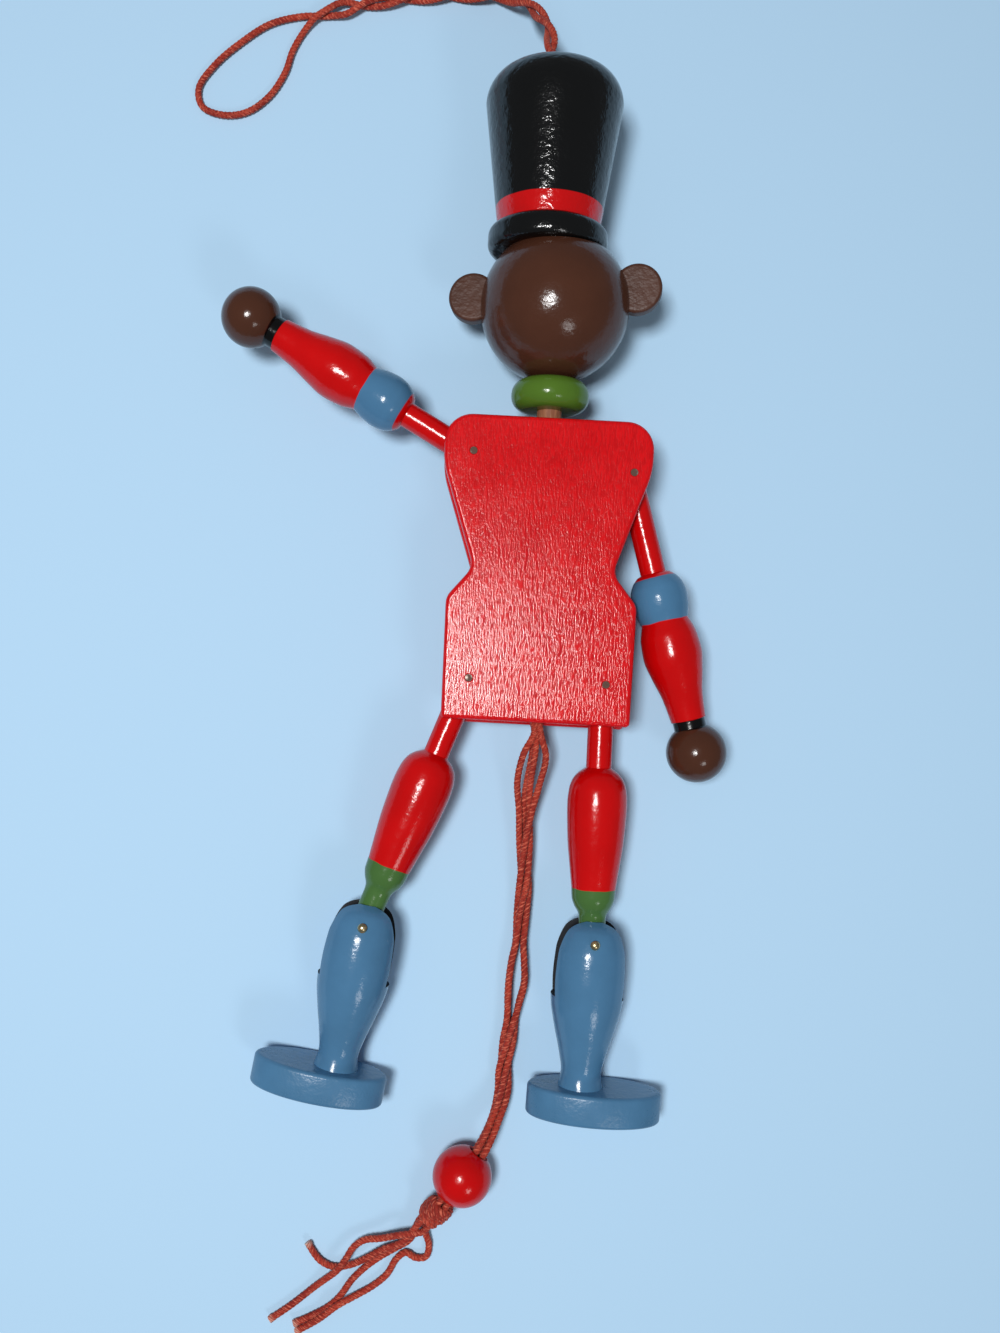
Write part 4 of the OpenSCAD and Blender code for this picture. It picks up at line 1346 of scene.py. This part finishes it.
@dataclass(frozen=True)
class PullCord:
    """Four strings that run from the boards through bead and knot to their ends, in millimetres.

    Attributes:
        inner_y: Where the strings pass between the boards, from so high that they stay there at
            full pull.
        bundle: Places of the bundle's middle, each with its spread and its turn in degrees.
        inner_spread: Half the strings' distance between the boards.
        lift: Half their distance in height in the bundle.
        lowest: The least height of a string's middle.
    """

    bead_at: Triple = (-13.0, -167.5, 8.3)
    bead_dir: Triple = (-0.5478, -0.8366, 0.0)
    bead_d: float = 16.5
    bead_hole: float = 5.2
    bead_flare: float = 0.5
    bead_lip: float = 0.3
    bead_reach: Triple = (-9.2, 0.0, 8.8)
    bead_spread: float = 1.1
    knot_at: Triple = (-20.4, -178.9, 5.8)
    knot_dir: Triple = (-0.530, -0.748, -0.397)
    knot_len: float = 8.4
    knot_reach: Pair = (-0.5, 2.0)
    knot_spread: float = 1.2
    knot_turns: float = 4.4
    knot_steps: int = 240
    knot_inset: float = 2.4
    knot_lean: float = 1.4
    knot_lean_turn: float = 0.6
    knot_r: float = 2.6
    knot_swell: float = 0.4
    knot_string_r: float = 1.1
    inner_y: Pair = (-22.5, -36.5)
    inner_spread: float = 1.2
    lift: float = 1.05
    lowest: float = 1.1
    offset: float = 0.0013
    fray: float = 1.6
    bundle: tuple[tuple[float, float, float, float, float], ...] = (
        (-0.2, -74.6, 6.5, 1.05, 40.0), (0.4, -86.6, 4.3, 1.05, 110.0),
        (0.2, -95.2, 3.2, 1.05, 160.0), (0.0, -103.7, 2.9, 1.1, 180.0),
        (-0.2, -109.0, 2.9, 1.8, 180.0), (-0.3, -114.7, 2.9, 2.2, 180.0),
        (-0.9, -120.5, 2.9, 1.6, 180.0), (-1.3, -125.5, 2.9, 1.05, 195.0),
        (-1.9, -131.5, 2.9, 1.05, 235.0), (-2.7, -139.1, 2.9, 1.05, 290.0),
        (-2.7, -145.4, 3.4, 1.05, 335.0), (-4.4, -152.0, 5.4, 1.0, 360.0))

    def build(self, kit: Kit) -> None:
        """Makes the bead, the knot and the four strings."""
        bead = self.bead(kit)
        knot = self.knot(kit)
        twine = Twine()
        for count, strand in enumerate(STRANDS):
            path = smooth_path(self.run(strand))
            mesh = twine.mesh(kit, path, self.offset * count, self.fray)
            nodes = (strand.node,) if count else (strand.node, "pull_cord")
            name, length = strand.node.replace("_end", "_string"), runs_of(path)[-1]
            string = piece(kit, name, mesh, STRING, "pull", "string", *nodes)
            tuple(LYING.ground(strand.hem[0]))
            LOG.info("%s: %.0f mm", name, length / MM)

    def axes(self) -> tuple[Vector, Vector, Vector]:
        """The knot's own directions: along, across and up."""
        along = Vector(self.knot_dir).normalized()
        across = along.cross(UP).normalized()
        return along, across, across.cross(along)

    def run(self, strand: Strand) -> list[Vector]:
        """The places one string passes, in order."""
        wide, high = strand.place
        corner = self.inner_spread * wide, self.inner_spread * high
        points = [LYING.bench((corner[0], y, corner[1])) for y in self.inner_y]
        spots: list[Point] = [*strand.hem]
        for x, y, z, spread, turn in self.bundle:
            out = Matrix.Rotation(math.radians(turn), 2) @ Vector((wide, high))
            spots.append((x + out.x * spread, y, max(self.lowest, z + out.y * self.lift)))
        way, far = Vector(self.bead_dir).normalized(), self.bead_spread
        flank = Vector((-way.y, way.x, 0.0))
        for reach in self.bead_reach:
            spots.append(Vector(self.bead_at) + way * reach + flank * wide * far + UP * high * far)
        (along, across, up), far = self.axes(), self.knot_spread
        half, (front, past) = self.knot_len / 2, self.knot_reach
        for reach in (front, half, half + past):
            spots.append(
                Vector(self.knot_at) + along * reach - across * wide * far + up * high * far)
        return points + [LYING.ground(p) for p in (*spots, *strand.end)]

    def bead(self, kit: Kit) -> Object:
        """The red ball on the cord."""
        r, hole = self.bead_d / 2, self.bead_hole / 2
        mouth = hole + self.bead_flare
        top, reach = math.degrees(math.acos(mouth / r)), math.sqrt(r ** 2 - mouth ** 2)
        end = reach - self.bead_lip
        profile = [(hole, -end), *arc((0.0, 0.0), r, -top, top, 48), (hole, end), (hole, -end)]
        axis = Vector((0.0, 1.0, 0.0)).rotation_difference(Vector(self.bead_dir))
        place = Matrix.Translation(LYING.ground(self.bead_at)) @ axis.to_matrix().to_4x4()
        mesh = turned(kit, profile, PAINT_RED, place)
        return piece(kit, "pull_bead_painted", mesh, PAINT_RED, "pull", "red_paint", "pull_bead")

    def knot(self, kit: Kit) -> Object:
        """The lump of slanted wraps that keeps the bead on."""
        along, across, up = self.axes()
        points = []
        for k in range(self.knot_steps + 1):
            share = k / self.knot_steps
            turn, bulge = math.tau * self.knot_turns * share, math.sin(math.pi * share)
            lean = self.knot_lean * bulge * math.cos(turn + self.knot_lean_turn)
            reach = (share - 0.5) * (self.knot_len - self.knot_inset) + lean - self.knot_lean
            out = across * math.cos(turn) + up * math.sin(turn)
            wide = self.knot_r + self.knot_swell * bulge
            points.append(LYING.ground(Vector(self.knot_at) + along * reach + out * wide))
        mesh = Twine(radius=self.knot_string_r).mesh(kit, spaced(points, KNOT_STEP))
        return piece(kit, "pull_knot_wraps", mesh, STRING, "pull", "string", "pull_knot")


@dataclass(frozen=True)
class HangCord:
    """One string doubled into a loop, both halves twisted together up to the hat, in millimetres.

    Attributes:
        inside: Places of the doubled part along the hat's axis, up to its hole.
        stem: Places of the doubled part's middle, from the hat on.
        loop: Places of the loop, from the stem round and back.
        spread: Distance of each half from the stem's middle.
        turns: Turns of the halves round each other, to where they cross at the loop.
        gape: How much further apart the halves stand where they gape.
        gape_at: Distance of that place from the crossing.
    """

    inside: Triple = (112.0, 124.0, 137.4)
    stem: tuple[Triple, ...] = (
        (-4.9, 144.8, 21.5), (-4.7, 150.0, 19.0), (-5.8, 155.9, 15.5), (-8.1, 161.4, 12.0),
        (-11.1, 166.1, 8.5), (-15.6, 170.0, 5.0), (-22.9, 171.8, 3.0), (-32.5, 171.9, 2.2),
        (-43.9, 170.7, 2.2), (-51.5, 169.3, 2.2), (-59.1, 167.7, 2.2), (-66.0, 166.0, 2.2),
        (-71.2, 164.1, 2.2))
    loop: tuple[Triple, ...] = (
        (-77.2, 163.8, 1.1), (-86.6, 161.0, 1.1), (-95.1, 154.8, 1.1), (-102.3, 147.7, 1.1),
        (-106.6, 140.4, 1.1), (-105.2, 135.0, 1.1), (-98.7, 132.8, 1.1), (-91.9, 134.1, 1.1),
        (-85.7, 139.2, 1.1), (-81.5, 146.5, 1.1), (-79.6, 153.3, 1.1), (-76.5, 159.4, 1.2),
        (-73.4, 162.9, 2.4))
    spread: float = 1.05
    turns: float = 3.75
    gape: float = 0.8
    gape_at: float = 7.3
    gape_len: float = 3.0
    knot_y: float = 91.0
    knot_r: float = 2.2
    knot_points: int = 60
    knot_step: Pair = (0.2, 0.1)

    def build(self, kit: Kit) -> None:
        """Makes the cord and its knot in the hat."""
        inner = [LYING.bench((HAT_X, y, 0.0)) for y in self.inside]
        hole = inner[-1]
        middle = smooth_path([*inner, *[LYING.ground(p) for p in self.stem]])
        path = spaced(self.doubled(middle, hole))
        twine, length = Twine(), runs_of(path)[-1]
        mesh = twine.mesh(kit, path)
        cord = piece(kit, "hang_string", mesh, STRING, "torso", "string", "hang_cord")
        knot = self.knot(kit, twine)
        LOG.info("hang_string: %.0f mm", length / MM)

    def doubled(self, middle: Sequence[Vector], hole: Vector) -> list[Vector]:
        """The string's whole way, up one half of the stem, round the loop and down the other.

        Args:
            middle: The stem's middle, in even steps.
            hole: The hat's hole, from which the halves' turns count.

        Returns:
            The string's points.
        """
        last = len(middle) - 1
        leave = min(range(len(middle)), key=lambda i: (middle[i] - hole).length)
        up, down = [], []
        for i, spot in enumerate(middle):
            turn = math.tau * self.turns * (i - leave) / (last - leave)
            way = way_at(middle, i)
            side = way.cross(UP).normalized()
            off = ((last - i) * PATH_STEP / MM - self.gape_at) / self.gape_len
            spread = (self.spread + self.gape * math.exp(-off * off / 2)) * MM
            out = side * math.cos(turn) * spread
            out += side.cross(way) * math.sin(turn) * self.spread * MM
            up.append(spot + out)
            down.append(spot - out)
        round_loop = smooth_path([up[-2], *[LYING.ground(p) for p in self.loop], down[-1]])
        return [*up[:-2], *round_loop[:-1], *reversed(down)]

    def knot(self, kit: Kit, twine: Twine) -> Object:
        """The wraps that hold the cord in the hat."""
        turn, rise = self.knot_step
        wraps = [LYING.bench((self.knot_r * math.cos(k * turn) + HAT_X, self.knot_y + k * rise,
                              self.knot_r * math.sin(k * turn))) for k in range(self.knot_points)]
        mesh = twine.mesh(kit, spaced(wraps))
        return piece(kit, "hang_knot_wraps", mesh, STRING, "torso", "string", "hang_knot")


class Limb(Enum):
    """Arms and legs, with the distance from a nail to its limb's hole for the string."""

    ARM = 5.5
    LEG = 8.0


@dataclass(frozen=True)
class InnerString:
    """The string from a limb's inner end to the pull cord, between the boards, in millimetres.

    Attributes:
        side: The side of the figure.
        limb: The limb whose inner end holds it.
        calm: A point on the string between the boards; not used.
        run: Its way from the hole to the pull cord.
        mouth: How far inward of the hole's middle it comes free of the limb.
    """

    side: Side
    limb: Limb
    calm: Triple
    run: tuple[Triple, ...]
    mouth: float = 4.5

    def build(self, kit: Kit) -> None:
        """Makes the piece."""
        s, eye, word = self.side.value, self.limb.value, self.side.word
        if self.limb is Limb.ARM:
            nail, angle, body = SHOULDERS[self.side], ARMS_OUT[self.side], word + "_arm"
        else:
            nail, angle, body = HIPS[self.side], LEGS_OUT[self.side], word + "_thigh"
        turn = Matrix.Rotation(math.radians(s * angle), 2)
        hole, mouth = (Vector(nail) + turn @ Vector((x, eye)) for x in (0.0, -s * self.mouth))
        points = [LYING.bench(p) for p in ((*hole, 0.0), (*mouth, 0.0), *self.run)]
        mesh = Twine().mesh(kit, smooth_path(points))
        node = f"{word}_{self.limb.name.lower()}_string"
        string = piece(kit, node + "_laid", mesh, STRING, None, "string", node)
        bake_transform(string)


INNER_STRINGS = (
    InnerString(Side.LEFT, Limb.ARM, (-14, 7, 1), (
        (-18, 17, 1), (-10, -2, 1.3), (-3, -22, 1.3), (-1.3, -30, 1.3), (-1.3, -33.7, 1.3))),
    InnerString(Side.RIGHT, Limb.ARM, (10.5, 17.5, 1), (
        (13, 27, 1), (8, 8, 1.3), (3, -20, 1.3), (1.3, -30, 1.3), (1.3, -33.7, 1.3))),
    InnerString(Side.LEFT, Limb.LEG, (-1.3, -33.7, -1.3), (
        (-7, -25.5, -1), (-3, -28, -1.3), (-1.3, -31, -1.3), (-1.3, -33.7, -1.3))),
    InnerString(Side.RIGHT, Limb.LEG, (1.3, -33.7, -1.3), (
        (8, -24, -1), (3, -27.5, -1.3), (1.3, -31, -1.3), (1.3, -33.7, -1.3))),
)
ARMS = (Arm(Side.LEFT, 21.8), Arm(Side.RIGHT, 27.6))
LEGS = (Leg(Side.LEFT, 73.0, 11.5), Leg(Side.RIGHT, 70.0, 2.0))


def dress_cad(kit: Kit) -> None:
    """Gives the CAD nodes that stay in view their finishes."""
    steel = Metal("dull_steel", Paint.STEEL, Paint.RUST, 0.75)
    brass = Metal("brass", Paint.BRASS, Paint.TARNISH, 0.25)
    finishes = {"neck_dowel": BareWood(), "neck_block": BareWood()}
    for side in Side:
        for end, finish in (("_shoulder_nail", steel), ("_hip_nail", steel), ("_knee_pin", brass)):
            finishes[side.word + end] = finish
    for name, finish in finishes.items():
        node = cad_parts[name]
        node.data.materials.clear()
        node.data.materials.append(kit.material(finish))


def main() -> None:
    """Builds the camera and cords, then the rest of the figure."""
    logging.basicConfig(level=logging.INFO)
    kit = Kit()
    Floor().build()
    for part in (PullCord(), HangCord(), *INNER_STRINGS, Torso(), *ARMS, *LEGS):
        part.build(kit)
    dress_cad(kit)


if __name__ == "__main__":
    main()
